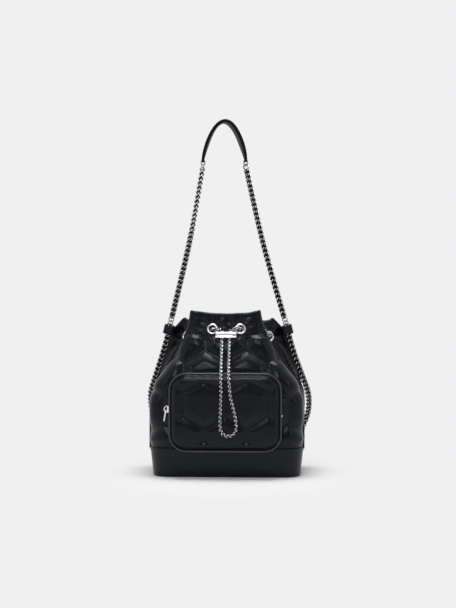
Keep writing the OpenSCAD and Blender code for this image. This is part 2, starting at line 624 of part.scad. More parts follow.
// Middle line of the pad and its outward direction, t from 0 to 1
function pad_line(t) = [strap_lean - pad_span * cos(180 * t), strap_y,
  pin_z + pad_rise * pow(max(0, sin(180 * t)), pad_point)];
function pad_out(t) = let (e = unit(pad_line(min(1, t + 0.01)) - pad_line(max(0, t - 0.01)))) [-e.z, 0, e.x];
function pad_half(t) = mix(pad_end_w, pad_w, min(1, 4.5 * min(t, 1 - t))) / 2;
function pad_slice(p, o, w, a, b) = [for (k = [[-1, a], [1, a], [1, b], [-1, b]])
  p + o * k.y + [0, k.x * w, 0]];
module pad_layer(a, b) difference() {
  loft(concat(
    [pad_slice(pad_line(0) - [0, 0, pad_tail], pad_out(0), pad_end_w / 2, a, b)],
    [for (i = [0:pad_n]) pad_slice(pad_line(i / pad_n), pad_out(i / pad_n), pad_half(i / pad_n), a, b)],
    [pad_slice(pad_line(1) - [0, 0, pad_tail], pad_out(1), pad_end_w / 2, a, b)]));
  for (s = [-1, 1]) translate([ring_mid(s).x, strap_y, pin_z]) rotate([0, 90, 0])
    cylinder(r = ring_wire / 2 + 2 * fit + 0.1, h = 4 * pad_t, center = true, $fn = ring_fn);
}
module pad_outer() color(leather) pad_layer(-pad_t / 2 + pad_back_t + seat, pad_t / 2 + seat);
module pad_backing() color(smooth_leather) pad_layer(-pad_t / 2, -pad_t / 2 + pad_back_t);

// Drawstring
cord_pitch = cord_in - play;
face_y = y_face - seat - pad_crown;
hang_y = face_y - cord_w / 2 - 0.8;
hang_z = pocket_z + pocket_h - 5;
toggle_mid = [0, wall(0, toggle_z).y - toggle_d / 2 - 3.6, toggle_z];
hang = [0, hang_y, hang_z];
strand_dir = unit(hang - toggle_mid);
strand_top = toggle_mid - strand_dir * (toggle_h / 2 + 1);
function strand(s) = [for (p = [strand_top, hang]) p + [s * strand_x, 0, 0]];
n_strand = count_of(strand(1), cord_pitch, 1);
module drawstring_strands() color(metal) for (s = [-1, 1])
  chain(places(strand(s), n_strand), cord_w, cord_wire, 0);
// Lowest stretch of the loop: a half turn of radius turn_r about turn_x
turn_x = 4.4;
turn_r = 10;
function turn_at(g) = [turn_x - turn_r * cos(g), hang_y, loop_low + turn_r * (1 - sin(g))];
loop_pts = [[-strand_x, hang_y, hang_z], [-strand_x, hang_y, hang_z - 26], turn_at(0) + [0, 0, 17],
  turn_at(0), turn_at(45), turn_at(90), turn_at(135), turn_at(180), turn_at(180) + [-2.3, 0, 19],
  [strand_x + 2.2, hang_y, hang_z - 26], [strand_x, hang_y, hang_z]];
loop_route = route(loop_pts);
n_loop = count_of(loop_route, cord_pitch, 1);
module drawstring_loop() color(metal) chain(places(loop_route, n_loop), cord_w, cord_wire, 90);

module bar_block(l, d, h) translate([-l / 2, -d / 2, -h / 2]) cube([l, d, h]);
module toggle_bar() color(metal) translate(toggle_mid) rotate([-acos(-strand_dir.z), 0, 0]) difference() {
  union() {
    bar_block(toggle_l, toggle_d, toggle_h);
    translate([0, 0, -toggle_h / 2 + 0.6]) bar_block(toggle_l + 1.2, toggle_d + 1.2, 1.2);
  }
  for (s = [-1, 1]) translate([s * strand_x, 0, 0])
    cylinder(r = cord_w / 2 + fit + 0.3, h = 2 * toggle_h, center = true, $fn = ring_fn);
}

// Gathering run through the eyelets and round the inside of the mouth, from strand to strand
function eyelet_mid(q) = wall(q, eyelet_z(q));
function eyelet_in(q, l) = eyelet_mid(q) - l * wall_normal(q, eyelet_z(q));
run_r = 1.9;
run_half = [strand_top + [strand_x, 0, 0] - strand_dir * 2.6,
  strand_top + [strand_x + 3.8, 1.8, 4.6], eyelet_in(q_front, -5.2) + [-4, 0, 0.5],
  eyelet_in(q_front, -2), eyelet_in(q_front, 6), mix(eyelet_in(q_front, 11), eyelet_in(q_flank, 11), 0.4),
  eyelet_in(q_flank, 6), eyelet_in(q_flank, -2.5), eyelet_in(q_outer, -2.5), eyelet_in(q_outer, 6),
  wall(3, eyelet_z(3)) - [14, -4, 0], eyelet_in(3.4, 9), eyelet_in(q_back, 7), eyelet_in(q_back, -3),
  eyelet_mid(4) + [0, 4, 0]];
run_right = route(run_half, 3);
run_path = concat(run_right, [for (i = [len(run_right) - 2:-1:0]) side(run_right[i], -1)]);
function ring_about(p, d, r, n) = let (x = unit(cross([0.02, 0.01, 1], d)), y = cross(d, x))
  [for (i = [0:n - 1]) p + r * (x * cos(-360 * i / n) + y * sin(-360 * i / n))];
module drawstring_run() color(metal) {
  e = len(run_path) - 1;
  loft([for (i = [0:e]) ring_about(run_path[i],
    unit(run_path[min(e, i + 1)] - run_path[max(0, i - 1)]), run_r, 8)]);
}

base_band();
base_panel();
base_board();
front_panel();
back_panel();
left_gusset();
right_gusset();
lining();
lining_floor();
front_eyelets();
side_eyelets();
back_eyelets();
pocket_front();
pocket_piping();
pocket_strip_front();
pocket_strip_back();
zip_tape();
zip_coil();
zip_stops();
zip_slider();
zip_pull();
left_loop();
right_loop();
left_anchor_tab();
right_anchor_tab();
left_dring();
right_dring();
left_lower_chain();
right_lower_chain();
left_lower_lace();
right_lower_lace();
left_upper_chain();
right_upper_chain();
left_upper_lace();
right_upper_lace();
strap_rings();
pad_outer();
pad_backing();
drawstring_run();
drawstring_strands();
drawstring_loop();
toggle_bar();
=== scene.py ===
# %% [markdown]
# # A black leather bucket bag, dressed in Blender
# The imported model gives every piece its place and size, in metres. This lesson gives each piece its
# surface: quilted leather, woven chain, polished metal and cloth. Nothing that the model fixes is moved.

# %% Load the frame
import math

import bmesh
import bpy
from mathutils import Matrix, Vector, noise


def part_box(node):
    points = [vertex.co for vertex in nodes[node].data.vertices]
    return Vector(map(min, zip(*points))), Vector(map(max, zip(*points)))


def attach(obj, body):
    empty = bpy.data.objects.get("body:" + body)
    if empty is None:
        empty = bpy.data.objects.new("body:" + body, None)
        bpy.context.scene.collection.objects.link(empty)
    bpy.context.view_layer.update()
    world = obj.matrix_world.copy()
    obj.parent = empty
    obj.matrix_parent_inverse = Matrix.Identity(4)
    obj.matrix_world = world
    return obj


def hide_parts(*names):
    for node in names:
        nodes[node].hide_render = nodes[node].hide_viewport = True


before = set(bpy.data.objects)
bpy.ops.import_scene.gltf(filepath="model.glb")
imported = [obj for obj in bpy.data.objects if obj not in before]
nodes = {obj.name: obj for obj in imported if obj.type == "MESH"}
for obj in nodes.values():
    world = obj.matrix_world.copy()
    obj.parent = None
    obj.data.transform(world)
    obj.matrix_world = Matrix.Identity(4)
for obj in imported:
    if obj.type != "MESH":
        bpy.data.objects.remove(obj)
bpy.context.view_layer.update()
MM = 0.001

# %% [markdown]
# ## Camera, floor and light
# The photograph is taken from straight ahead at mid height, a little to the right, with a long lens. A
# pale floor that fades into an equally pale world gives the seamless studio ground, and still takes the
# contact shadow of the bag. Four soft lamps light it: one above, one in front and a strip at each side.

# %% Camera
scene = bpy.context.scene
scene.view_settings.view_transform = "Standard"
AIM, CAMERA_AT = Vector((0.0, 0.0, 0.224)), Vector((0.085, -1.798, 0.224))
SENSOR_MM, LENS_MM = 36, 80


def looking(at, aim):
    """The turn that points a camera or a lamp from one place at another."""
    return (Vector(aim) - Vector(at)).to_track_quat("-Z", "Y").to_euler()


camera = bpy.data.objects.new("camera", bpy.data.cameras.new("camera"))
scene.collection.objects.link(camera)
camera.data.sensor_width, camera.data.lens = SENSOR_MM, LENS_MM
camera.location, camera.rotation_euler = CAMERA_AT, looking(CAMERA_AT, AIM)
scene.camera = camera
print("camera", tuple(round(x, 3) for x in CAMERA_AT))


# %% Node helpers
def adder(tree):
    """A short way to add a shader node: its kind, its inputs and its settings. A socket is linked and a
    number is set, and the new node's outputs come back."""
    def add(kind, inputs, **settings):
        made = tree.nodes.new("ShaderNode" + kind)
        for label, value in settings.items():
            setattr(made, label, value)
        for label, value in inputs.items():
            if isinstance(value, bpy.types.NodeSocket):
                tree.links.new(value, made.inputs[label])
            else:
                made.inputs[label].default_value = value
        return made.outputs

    return add


def emptied(owner):
    """Clears the node tree of a material or world, ready for new nodes."""
    owner.use_nodes = True
    owner.node_tree.nodes.clear()
    return adder(owner.node_tree)


# %% Floor
PALE, FLOOR_HALF = 0.87, 6.0
FLOOR_NEAR, FLOOR_FAR, FLOOR_NARROW = 0.12, 0.28, 1.35


def pale_floor():
    """Diffuse near the bag, so that it takes a shadow, and plain pale light far away."""
    mat = bpy.data.materials.new("pale_floor")
    add = emptied(mat)
    place = add("TexCoord", {})["Object"]
    narrowed = add("Mapping", {"Vector": place, "Scale": (FLOOR_NARROW, 1, 1)})["Vector"]
    reach = add("VectorMath", {0: narrowed}, operation="LENGTH")["Value"]
    far = add("MapRange", {"Value": reach, "From Min": FLOOR_NEAR, "From Max": FLOOR_FAR},
              interpolation_type="SMOOTHSTEP")["Result"]
    matte, glow = (add(kind, {"Color": (PALE, PALE, PALE, 1)})[0] for kind in ("BsdfDiffuse", "Emission"))
    both = add("MixShader", {"Fac": far, 1: matte, 2: glow})[0]
    add("OutputMaterial", {"Surface": both})
    return mat


def as_object(name, bm, finish):
    """Turns a bmesh into an object of the scene, with its finish."""
    mesh = bpy.data.meshes.new(name)
    bm.to_mesh(mesh)
    bm.free()
    ob = bpy.data.objects.new(name, mesh)
    scene.collection.objects.link(ob)
    mesh.materials.append(finish)
    return ob


floor_grid = bmesh.new()
bmesh.ops.create_grid(floor_grid, x_segments=1, y_segments=1, size=FLOOR_HALF)
floor = as_object("floor", floor_grid, pale_floor())
print("floor", 2 * FLOOR_HALF, "m wide")

# %% World
WORLD_FILL, ROOM = 0.46, 0.22
ROOM_NEAR, ROOM_FAR = -0.8, 0.1


def studio_world():
    """Pale to the eye and in reflections, dimmer where the room lies in front of the bag, and a weaker
    fill for matte surfaces."""
    scene.world = bpy.data.worlds.new("studio")
    add = emptied(scene.world)
    ray = add("LightPath", {})
    seen = add("Math", {0: ray["Is Camera Ray"], 1: ray["Is Glossy Ray"]}, operation="MAXIMUM")[0]
    shown = add("Math", {0: seen, 1: ray["Is Transmission Ray"]}, operation="MAXIMUM")[0]
    way = add("SeparateXYZ", {0: add("TexCoord", {})["Generated"]})["Y"]
    around = add("MapRange", {"Value": way, "From Min": ROOM_NEAR, "From Max": ROOM_FAR, "To Min": ROOM,
                              "To Max": PALE}, interpolation_type="SMOOTHSTEP")["Result"]
    room = add("Mix", {"Factor": ray["Is Camera Ray"], "A": around, "B": PALE})["Result"]
    level = add("MapRange", {"Value": shown, "To Min": WORLD_FILL, "To Max": room})["Result"]
    back = add("Background", {"Color": (1, 1, 1, 1), "Strength": level})[0]
    add("OutputWorld", {"Surface": back})


studio_world()
print("world at", PALE)

# %% Lamps
LAMPS = {  # place, aim, size and watts
    "top_box": ((0.0, -0.08, 1.4), (0, 0, 0.1), (0.75, 0.5), 10.5),
    "key_box": ((-0.15, -1.35, 1.1), (0, 0, 0.15), (0.5, 0.3), 4),
    "left_strip": ((-1.1, -1.0, 0.7), (0, 0, 0.2), (0.25, 0.8), 1.4),
    "right_strip": ((1.1, -1.0, 0.7), (0, 0, 0.2), (0.25, 0.8), 1.4),
}
for name, (at, aim, size, watts) in LAMPS.items():
    lamp = bpy.data.lights.new(name, "AREA")
    lamp.shape, lamp.energy = "RECTANGLE", watts
    lamp.size, lamp.size_y = size
    ob = bpy.data.objects.new(name, lamp)
    ob.location, ob.rotation_euler = at, looking(at, aim)
    scene.collection.objects.link(ob)
print("lamps:", len(LAMPS))

# %% [markdown]
# ## Finishes
# Leather is a pebbled skin: small rounded cells, larger soft creases and an uneven sheen. The same
# grain serves the quilted and the smooth leather, so it is a node group with its own inputs, placed in
# each material. Metal has a group of fine handling marks, and cloth, tape and thread share a plain weave.
# The inner sides of the chain links and the eyelet bores are marked on their meshes, and the metal is painted
# darker there as painted shade.


# %% Grain, marks and weave as groups
def group(name, setting, rule):
    """A shader node group: a place and one scale go in, and a rule makes its Height and Tone of them."""
    tree = bpy.data.node_groups.new(name, "ShaderNodeTree")
    tree.interface.new_socket("Vector", in_out="INPUT", socket_type="NodeSocketVector")
    tree.interface.new_socket(setting, in_out="INPUT", socket_type="NodeSocketFloat")
    for label in ("Height", "Tone"):
        tree.interface.new_socket(label, in_out="OUTPUT", socket_type="NodeSocketFloat")
    ins, outs = tree.nodes.new("NodeGroupInput").outputs, tree.nodes.new("NodeGroupOutput").inputs
    for socket, result in zip(outs, rule(adder(tree), ins["Vector"], ins[setting])):
        tree.links.new(result, socket)
    return tree


CREASES, CREASE_DEPTH, GRAIN_SOFT, GRAIN_DRIFT = 160, 0.9, 0.35, 26
MARK_DRIFT, WEAVE_DRIFT, WEAVE_WANDER = 70, 60, 0.3


def grain(add, place, scale):
    """Leather: pebbles and creases for the height, slow changes of colour and sheen for the tone."""
    cells = add("TexVoronoi", {"Vector": place, "Scale": scale, "Smoothness": GRAIN_SOFT},
                feature="SMOOTH_F1")
    crease = add("TexNoise", {"Vector": place, "Scale": CREASES, "Detail": 4})["Fac"]
    slow = add("TexNoise", {"Vector": place, "Scale": GRAIN_DRIFT, "Detail": 3})["Fac"]
    pebble = add("Math", {0: cells["Distance"], 1: -1.0}, operation="MULTIPLY")[0]
    soft = add("Math", {0: crease, 1: CREASE_DEPTH}, operation="MULTIPLY")[0]
    return add("Math", {0: pebble, 1: soft}, operation="ADD")[0], slow


def handling(add, place, scale):
    """Fine marks on metal, as a faint height and a change of gloss."""
    fine = add("TexNoise", {"Vector": place, "Scale": scale, "Detail": 5})["Fac"]
    slow = add("TexNoise", {"Vector": place, "Scale": MARK_DRIFT})["Fac"]
    return fine, add("Math", {0: fine, 1: slow}, operation="MULTIPLY")[0]


def weave(add, place, scale):
    """Plain weave: two crossing sets of threads, over and under."""
    waves = [add("TexWave", {"Vector": place, "Scale": scale, "Distortion": WEAVE_WANDER}, bands_direction=way,
                 wave_profile="SIN")["Fac"] for way in ("X", "Z")]
    height = add("Math", dict(enumerate(waves)), operation="MAXIMUM")[0]
    return height, add("TexNoise", {"Vector": place, "Scale": WEAVE_DRIFT})["Fac"]


GRAIN = group("leather_grain", "Cells", grain)
MARKS = group("handling_marks", "Scale", handling)
WEAVE = group("plain_weave", "Threads", weave)
print("groups:", GRAIN.name, MARKS.name, WEAVE.name)


def surface(name, tree, scale, plain, dark, light, gloss, bump, painted_shade=None):
    """A Principled material whose colour, gloss and bump come from one group on Object coordinates.
    scale is the group's own, plain holds the shader's plain socket values, gloss is a range of roughness
    and bump is (strength, metres). The last argument is the colour of painted shade, laid where the mesh marks
    its shaded inner sides."""
    mat = bpy.data.materials.new(name)
    add = emptied(mat)
    place = add("TexCoord", {})["Object"]
    effect = add("Group", {"Vector": place, 1: scale}, node_tree=tree)
    tone = effect["Tone"]
    colour = add("Mix", {"Factor": tone, "A": (*dark, 1), "B": (*light, 1)}, data_type="RGBA")["Result"]
    # Painted shade: the colour turns near-black where the mesh marks the inner sides of links and the bores of
    # eyelets.
    if painted_shade:
        painted_shade_mask = add("Attribute", {}, attribute_name="painted_shade")["Fac"]
        colour = add("Mix", {"Factor": painted_shade_mask, "A": colour, "B": (*painted_shade, 1)}, data_type="RGBA")["Result"]
    rough = add("MapRange", {"Value": tone, "To Min": gloss[0], "To Max": gloss[1]})["Result"]
    rise = add("Bump", {"Strength": bump[0], "Distance": bump[1], "Height": effect["Height"]})["Normal"]
    shader = add("BsdfPrincipled", {**plain, "Base Color": colour, "Roughness": rough, "Normal": rise})[0]
    add("OutputMaterial", {"Surface": shader})
    return mat


def sheen(level):
    return {"Specular IOR Level": level}


LEATHER_TINT, METAL = {"Specular Tint": (0.82, 0.88, 1.0, 1)}, {"Metallic": 1.0}
LEATHER_SHEEN = {**sheen(0.24), **LEATHER_TINT}
quilted = surface("quilted_leather", GRAIN, 1000, LEATHER_SHEEN,
                  (0.0018, 0.002, 0.003), (0.005, 0.0053, 0.0075), (0.21, 0.3), (0.2, 0.0004))
smooth = surface("smooth_leather", GRAIN, 1400, LEATHER_SHEEN,
                 (0.003, 0.0032, 0.0045), (0.007, 0.0074, 0.0102), (0.25, 0.34), (0.2, 0.0003))
# The last colour of each metal is painted shade for the inner sides of links and the eyelet bores.
silver = surface("polished_silver", MARKS, 900, METAL, (0.8, 0.8, 0.82),
                 (0.95, 0.95, 0.97), (0.08, 0.24), (0.04, 0.0001), painted_shade=(0.02, 0.02, 0.022))
# chain_silver is painted darker than polished_silver: partly a darker metal, partly painted shade standing in
# for the dark surroundings that the links reflect.
links_silver = surface("chain_silver", MARKS, 900, METAL, (0.42, 0.42, 0.435),
                       (0.75, 0.75, 0.77), (0.1, 0.28), (0.04, 0.0001), painted_shade=(0.015, 0.015, 0.017))
strapping = surface("strap_leather", GRAIN, 1400, sheen(0.06),
                    (0.003, 0.003, 0.0035), (0.006, 0.006, 0.007), (0.35, 0.5), (0.2, 0.0003))
# edge_leather's base is lighter than the other leather: partly a grey edge paint, partly a painted highlight
# so that the welts, mouth roll and piping read as light lines.
edging = surface("edge_leather", GRAIN, 1400, {**sheen(0.7), **LEATHER_TINT},
                 (0.008, 0.008, 0.01), (0.018, 0.018, 0.021), (0.2, 0.3), (0.15, 0.0003))
cloth = surface("lining_cloth", WEAVE, 260, sheen(0.2),
                (0.012, 0.012, 0.013), (0.03, 0.03, 0.032), (0.75, 0.9), (0.5, 0.0003))
tape = surface("zip_tape_cloth", WEAVE, 420, sheen(0.2),
               (0.008, 0.008, 0.009), (0.016, 0.016, 0.017), (0.7, 0.85), (0.5, 0.0002))
thread = surface("waxed_thread", WEAVE, 700, sheen(0.4),
                 (0.009, 0.009, 0.01), (0.02, 0.02, 0.022), (0.4, 0.6), (0.4, 0.0002))
moulded = surface("moulded_coil", MARKS, 500, sheen(0.4),
                  (0.008, 0.008, 0.009), (0.018, 0.018, 0.019), (0.3, 0.45), (0.1, 0.0001))
board = surface("base_stiffener", WEAVE, 180, sheen(0.3),
                (0.04, 0.04, 0.04), (0.08, 0.08, 0.078), (0.7, 0.9), (0.3, 0.0003))

# %% [markdown]
# ## From a bmesh to a piece
# Every piece is built in millimetres and scaled once, so its object stays at the origin. One helper
# makes the object, shades it, gives it its finish and lets it ride on its body. A swept piece starts as a
# grid: its length follows a path, its width wraps round a section, and the seam is merged.


# %% Piece helper
def piece(name, bm, finish, body="bag", stands_for=()):
    """Turns a bmesh in millimetres into a finished object on a body."""
    bmesh.ops.scale(bm, vec=(MM, MM, MM), verts=bm.verts)
    for face in bm.faces:
        face.smooth = True
    ob = as_object(name, bm, finish)
    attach(ob, body)
    if stands_for:
        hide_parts(*stands_for)
    print(f"{name}: {len(ob.data.polygons)} faces")
    return ob


def joined(parts):
    """Several bmeshes as one."""
    whole = bmesh.new()
    for part in parts:
        mesh = bpy.data.meshes.new("part")
        part.to_mesh(mesh)
        part.free()
        whole.from_mesh(mesh)
        bpy.data.meshes.remove(mesh)
    return whole


def thicken(ob, thick):
    """Gives an open sheet its thickness, inwards from the face that shows."""
    wall_of = ob.modifiers.new("thickness", "SOLIDIFY")
    wall_of.thickness, wall_of.offset, wall_of.use_even_offset = thick * MM, -1, False


def mix(a, b, t):
    return a + (b - a) * t


def smoothstep(a, b, x):
    t = min(1.0, max(0.0, (x - a) / (b - a)))
    return t * t * (3 - 2 * t)


# %% Grid helpers
MEET = 1e-5


def laid_grid(columns, rows, rule):
    """A grid, each point laid by a rule of its two shares, from 0 to 1 along and across."""
    bm = bmesh.new()
    bmesh.ops.create_grid(bm, x_segments=columns, y_segments=rows, size=0.5)
    for v in bm.verts:
        v.co = rule(v.co.x + 0.5, v.co.y + 0.5)
    return bm


def closed_up(bm, near=MEET):
    """Merges the points that meet, and turns all faces outwards."""
    bmesh.ops.remove_doubles(bm, verts=bm.verts, dist=near)
    bmesh.ops.recalc_face_normals(bm, faces=bm.faces)
    return bm


# %% Routes
def shares_to(count):
    """Even shares from 0 to 1."""
    return [k / count for k in range(count + 1)]


def bend(a, b, c, d, t):
    """Smooth stretch from b to c, as the model's routes have it."""
    return 0.5 * (2 * b + (c - a) * t + (2 * a - 5 * b + 4 * c - d) * t * t + (3 * b - a - 3 * c + d) * t**3)


def route(points, steps):
    p = [Vector(x) for x in points]
    e = len(p) - 1
    line = [bend(p[max(i - 1, 0)], p[i], p[i + 1], p[min(i + 2, e)], j / steps)
            for i in range(e) for j in range(steps)]
    return line + [p[e]]


def length_of(line):
    return sum((b - a).length for a, b in zip(line, line[1:]))


def places(line, count):
    """count + 1 points, evenly spaced along a line."""
    runs = [0.0]
    for a, b in zip(line, line[1:]):
        runs.append(runs[-1] + (b - a).length)
    out, i = [], 0
    for k in range(count + 1):
        s = runs[-1] * k / count
        while i < len(line) - 2 and runs[i + 1] < s:
            i += 1
        out.append(line[i].lerp(line[i + 1], (s - runs[i]) / (runs[i + 1] - runs[i])))
    return out


def frames(line, first, closed=False):
    """Direction, sideways and outward at each point; outward starts near first and is carried along."""
    out, count = [], len(line)
    carried = Vector(first)
    for i in range(count):
        after = line[(i + 1) % count] if closed else line[min(i + 1, count - 1)]
        before = line[i - 1] if closed else line[max(i - 1, 0)]
        ahead = (after - before).normalized()
        carried = (carried - ahead * carried.dot(ahead)).normalized()
        out.append((ahead, carried.cross(ahead), carried.copy()))
    return out


def flipped(p, s):
    """A point of the right side, or with s of -1 its twin on the left."""
    return Vector((s * p.x, p.y, p.z))


print("a straight route of 100 mm measures", round(length_of(route([(0, 0, 0), (100, 0, 0)], 4))), "mm")


# %% Sweep
def swept(line, axes, section, closed=False):
    """Carries a closed section along a line. section is a list of (sideways, outward) or a rule of i."""
    rule = section if callable(section) else (lambda i: section)
    count, sides = len(line), len(rule(0))
    steps = count if closed else count - 1

    def place(along, about):
        i = round(along * steps) % count
        a, b = rule(i)[round(about * sides) % sides]
        return line[i] + axes[i][1] * a + axes[i][2] * b

    bm = laid_grid(steps, sides, place)
    bmesh.ops.remove_doubles(bm, verts=bm.verts, dist=MEET)
    if not closed:
        bmesh.ops.holes_fill(bm, edges=[e for e in bm.edges if e.is_boundary], sides=0)
    bmesh.ops.recalc_face_normals(bm, faces=bm.faces)
    return bm


def swept_ring(line, first, section):
    """Carries a section once round a closed line."""
    return swept(line, frames(line, first, closed=True), section, closed=True)


def round_section(radius, sides):
    turn = 2 * math.pi / sides
    return [(radius * math.cos(turn * k), radius * math.sin(turn * k)) for k in range(sides)]


EDGE_ARC = 4


def strap_section(width, thick, soft=0.45, across=6):
    """Flat section with rounded edges: the corners are arcs of soft times the thickness."""
    r = thick * soft
    w, t = width / 2 - r, thick / 2 - r
    out = []
    for x, y, start in ((w, t, 0), (-w, t, 90), (-w, -t, 180), (w, -t, 270)):
        for k in range(EDGE_ARC + 1):
            g = math.radians(start + 90 * k / EDGE_ARC)
            out.append((x + r * math.cos(g), y + r * math.sin(g)))
        if start in (0, 180):
            step = 1 if start == 0 else -1
            out += [(step * mix(w, -w, k / across), step * (t + r)) for k in range(1, across)]
    return out


print("helpers ready")

# %% [markdown]
# ## The shape of the bag
# The wall is one rule: at each place round the mouth and at each height it gives a point. The base is a
# rounded rectangle, the mouth is drawn in, and between the two the sides fold. The rule repeats the
# model's own, so the leather lies where the solids are, and a second rule softens it as padded leather
# folds. Signed places run from -4 to 4: 0 is the front middle, 1 the front crease, 2 the valley of the
# fold, 3 the ear and 4 the back middle.

# %% Sizes of the body
band_low, band_high = (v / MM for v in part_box("base_band"))
base_w, base_d, base_h = band_high.x - band_low.x, band_high.y - band_low.y, band_high.z
rim_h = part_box("front_panel")[1].z / MM
base_r, base_draw, base_edge = 28, 4, 2.6
leather_t = 2.6
rim_w, rim_dip, mouth_front, mouth_back = 88, 4, 41, 40
fold_z, lean_z, fold_power = 105, 141, 1.5
valley, ear = Vector((31, -13)), Vector((58, 6))
valley_drop, ear_drop, back_dip = 14, 10, 5
crease_x, crease_z = 69.8, 190
ear_power = (math.log(1 - (base_w / 2 - crease_x) / (base_w / 2 - ear.x))
             / math.log(1 - (crease_z - fold_z) / (rim_h - ear_drop - fold_z)))
corner = Vector((rim_w / 2, 3 - mouth_front))
half_run = (base_w - 2 * base_r) + (base_d - 2 * base_r) + math.pi * base_r
share_front = (base_w / 2 - base_r + math.pi * base_r / 2) / half_run
shares = [0, share_front, 0.5, share_front + (base_d - 2 * base_r - 6) / half_run, 1]
print("body", [round(x, 1) for x in (base_w, base_d, base_h, rim_h)])


# %% Outlines
def outline(share, w, d, r):
    """Point of a rounded rectangle, from its front middle (0) to its back middle (1)."""
    a, b, quarter = w / 2 - r, d - 2 * r, math.pi * r / 2
    s = share * (2 * a + 2 * quarter + b)
    if s <= a:
        return Vector((s, -d / 2))
    if s <= a + quarter:
        g = (s - a) / r
        return Vector((a + r * math.sin(g), -d / 2 + r - r * math.cos(g)))
    if s <= a + quarter + b:
        return Vector((w / 2, -d / 2 + r + s - a - quarter))
    if s <= a + 2 * quarter + b:
        g = (s - a - quarter - b) / r
        return Vector((a + r * math.cos(g), d / 2 - r + r * math.sin(g)))
    return Vector((2 * a + 2 * quarter + b - s, d / 2))


def whole_outline(k, steps, w, d, r):
    """Point k of steps round a whole rounded rectangle, from its front middle to the right."""
    share = 2 * k / steps
    side = 1 if share <= 1 else -1
    p = outline(share if side > 0 else 2 - share, w, d, r)
    return Vector((side * p.x, p.y))


print("base outline, right middle", [round(x, 1) for x in whole_outline(1, 4, base_w, base_d, base_r)])


# %% Rules of the mouth
def share_of(q):
    i = min(3, int(q))
    return mix(shares[i], shares[i + 1], q - i)


def mouth(q):
    """Point of the mouth edge, its height, and the height at which its column starts to lean."""
    q = 8 - q if q > 4 else q
    i = min(3, int(q))
    t = q - i
    if i == 0:
        xy = Vector((t * rim_w / 2, mix(-mouth_front, corner.y, t * t)))
        return xy, rim_h - rim_dip * (1 - t * t), mix(lean_z, fold_z, t * t)
    if i == 1:
        return corner.lerp(valley, t), rim_h - valley_drop * t * t, fold_z
    if i == 2:
        return valley.lerp(ear, t), rim_h - mix(valley_drop, ear_drop, t**6), fold_z
    g = math.pi / 2 * t
    xy = Vector((ear.x * math.cos(g), mix(ear.y, mouth_back, math.sin(g))))
    top = rim_h - mix(ear_drop, rim_dip, t * t) - back_dip * math.sin(2 * g)
    return xy, top, mix(fold_z, lean_z, t)


def mouth_z(q):
    return mouth(abs(q))[1]


print("wall height at the ear", round(mouth_z(3), 1))


# %% Rules of the wall
def close_power(q):
    """How soon a column closes towards the mouth: the front early, the ear crease late."""
    i = min(3, int(q))
    t = q - i
    if i < 2:
        return fold_power
    return mix(fold_power, ear_power, t) if i == 2 else mix(ear_power, fold_power, min(1, 3 * t))


def wall(q, z):
    """Outer face of the wall at a signed place and a height."""
    q = q - 8 if q > 4 else q + 8 if q < -4 else q
    xy, top, start = mouth(abs(q))
    t = min(1.0, max(0.0, (z - start) / (top - start)))
    p = outline(share_of(abs(q)), base_w, base_d, base_r).lerp(xy, 1 - (1 - t) ** close_power(abs(q)))
    return Vector((math.copysign(p.x, q) if q else 0.0, p.y, z))


NEAR_Q, NEAR_Z = 0.04, 3


def wall_normal(q, z):
    across = wall(q + NEAR_Q, z) - wall(q - NEAR_Q, z)
    return across.cross(wall(q, z + NEAR_Z) - wall(q, z - NEAR_Z)).normalized()


def flat_normal(q, z):
    """The wall's normal without its rise."""
    n = wall_normal(q, z)
    return Vector((n.x, n.y, 0)).normalized()


print("front of the wall at the fold", round(wall(0, fold_z).y, 1), "mm")

# %% Softened wall
SOFTEN = ((-2, 0.1), (-1, 0.22), (0, 0.36), (1, 0.22), (2, 0.1))
CREASE_STEP, BREAK = 0.03, 16
EAR_CRISP, EAR_NEAR = 0.3, 0.3
EAR_FULL, EAR_REACH, EAR_FROM, EAR_TO = 3.2, 0.14, (118, 150), (188, 202)
CORNER_LEAN, CORNER_REACH, CORNER_FROM = 3.4, 0.35, (150, 222)


def soft_wall(q, z):
    """The wall with creases and fold rounded, fuller ears, and the left front corner leaning out."""
    off_ear = abs((abs(q) if abs(q) <= 4 else 8 - abs(q)) - 3)
    step = CREASE_STEP * mix(EAR_CRISP, 1, smoothstep(0, EAR_NEAR, off_ear))
    levels = ((z, 1),)
    if fold_z - BREAK < z < lean_z + BREAK:
        levels = ((z - BREAK / 2, 0.25), (z, 0.5), (z + BREAK / 2, 0.25))
    p = sum((wall(q + k * step, level) * w * v for level, v in levels for k, w in SOFTEN), Vector())
    full = EAR_FULL * math.exp(-((off_ear / EAR_REACH) ** 2))
    full *= smoothstep(*EAR_FROM, z) * (1 - smoothstep(*EAR_TO, z))
    lean = CORNER_LEAN * math.exp(-(((q + 1) / CORNER_REACH) ** 2)) * smoothstep(*CORNER_FROM, z)
    return Vector((p.x + math.copysign(full, p.x) - lean, p.y, z))


print("ear at", round(soft_wall(3, crease_z).x, 1), "mm")

# %% [markdown]
# ## Quilted walls
# The walls are leather over thin padding, pressed into a honeycomb of pads, under a plain hem that
# holds the eyelets. A flat grid is laid on the wall's rule, then each point moves out along its normal:
# up on a pad, not at all on a channel, a little on the hem. Cloth simulation would blur the crisp
# channels, so the padding is modelled directly.

# %% Quilting rule
CELL = 54.0
ROW_PITCH = CELL * math.sqrt(3) / 2
CELL_RISE, CELL_REACH, GROOVE = 4.4, 14.0, 1.6


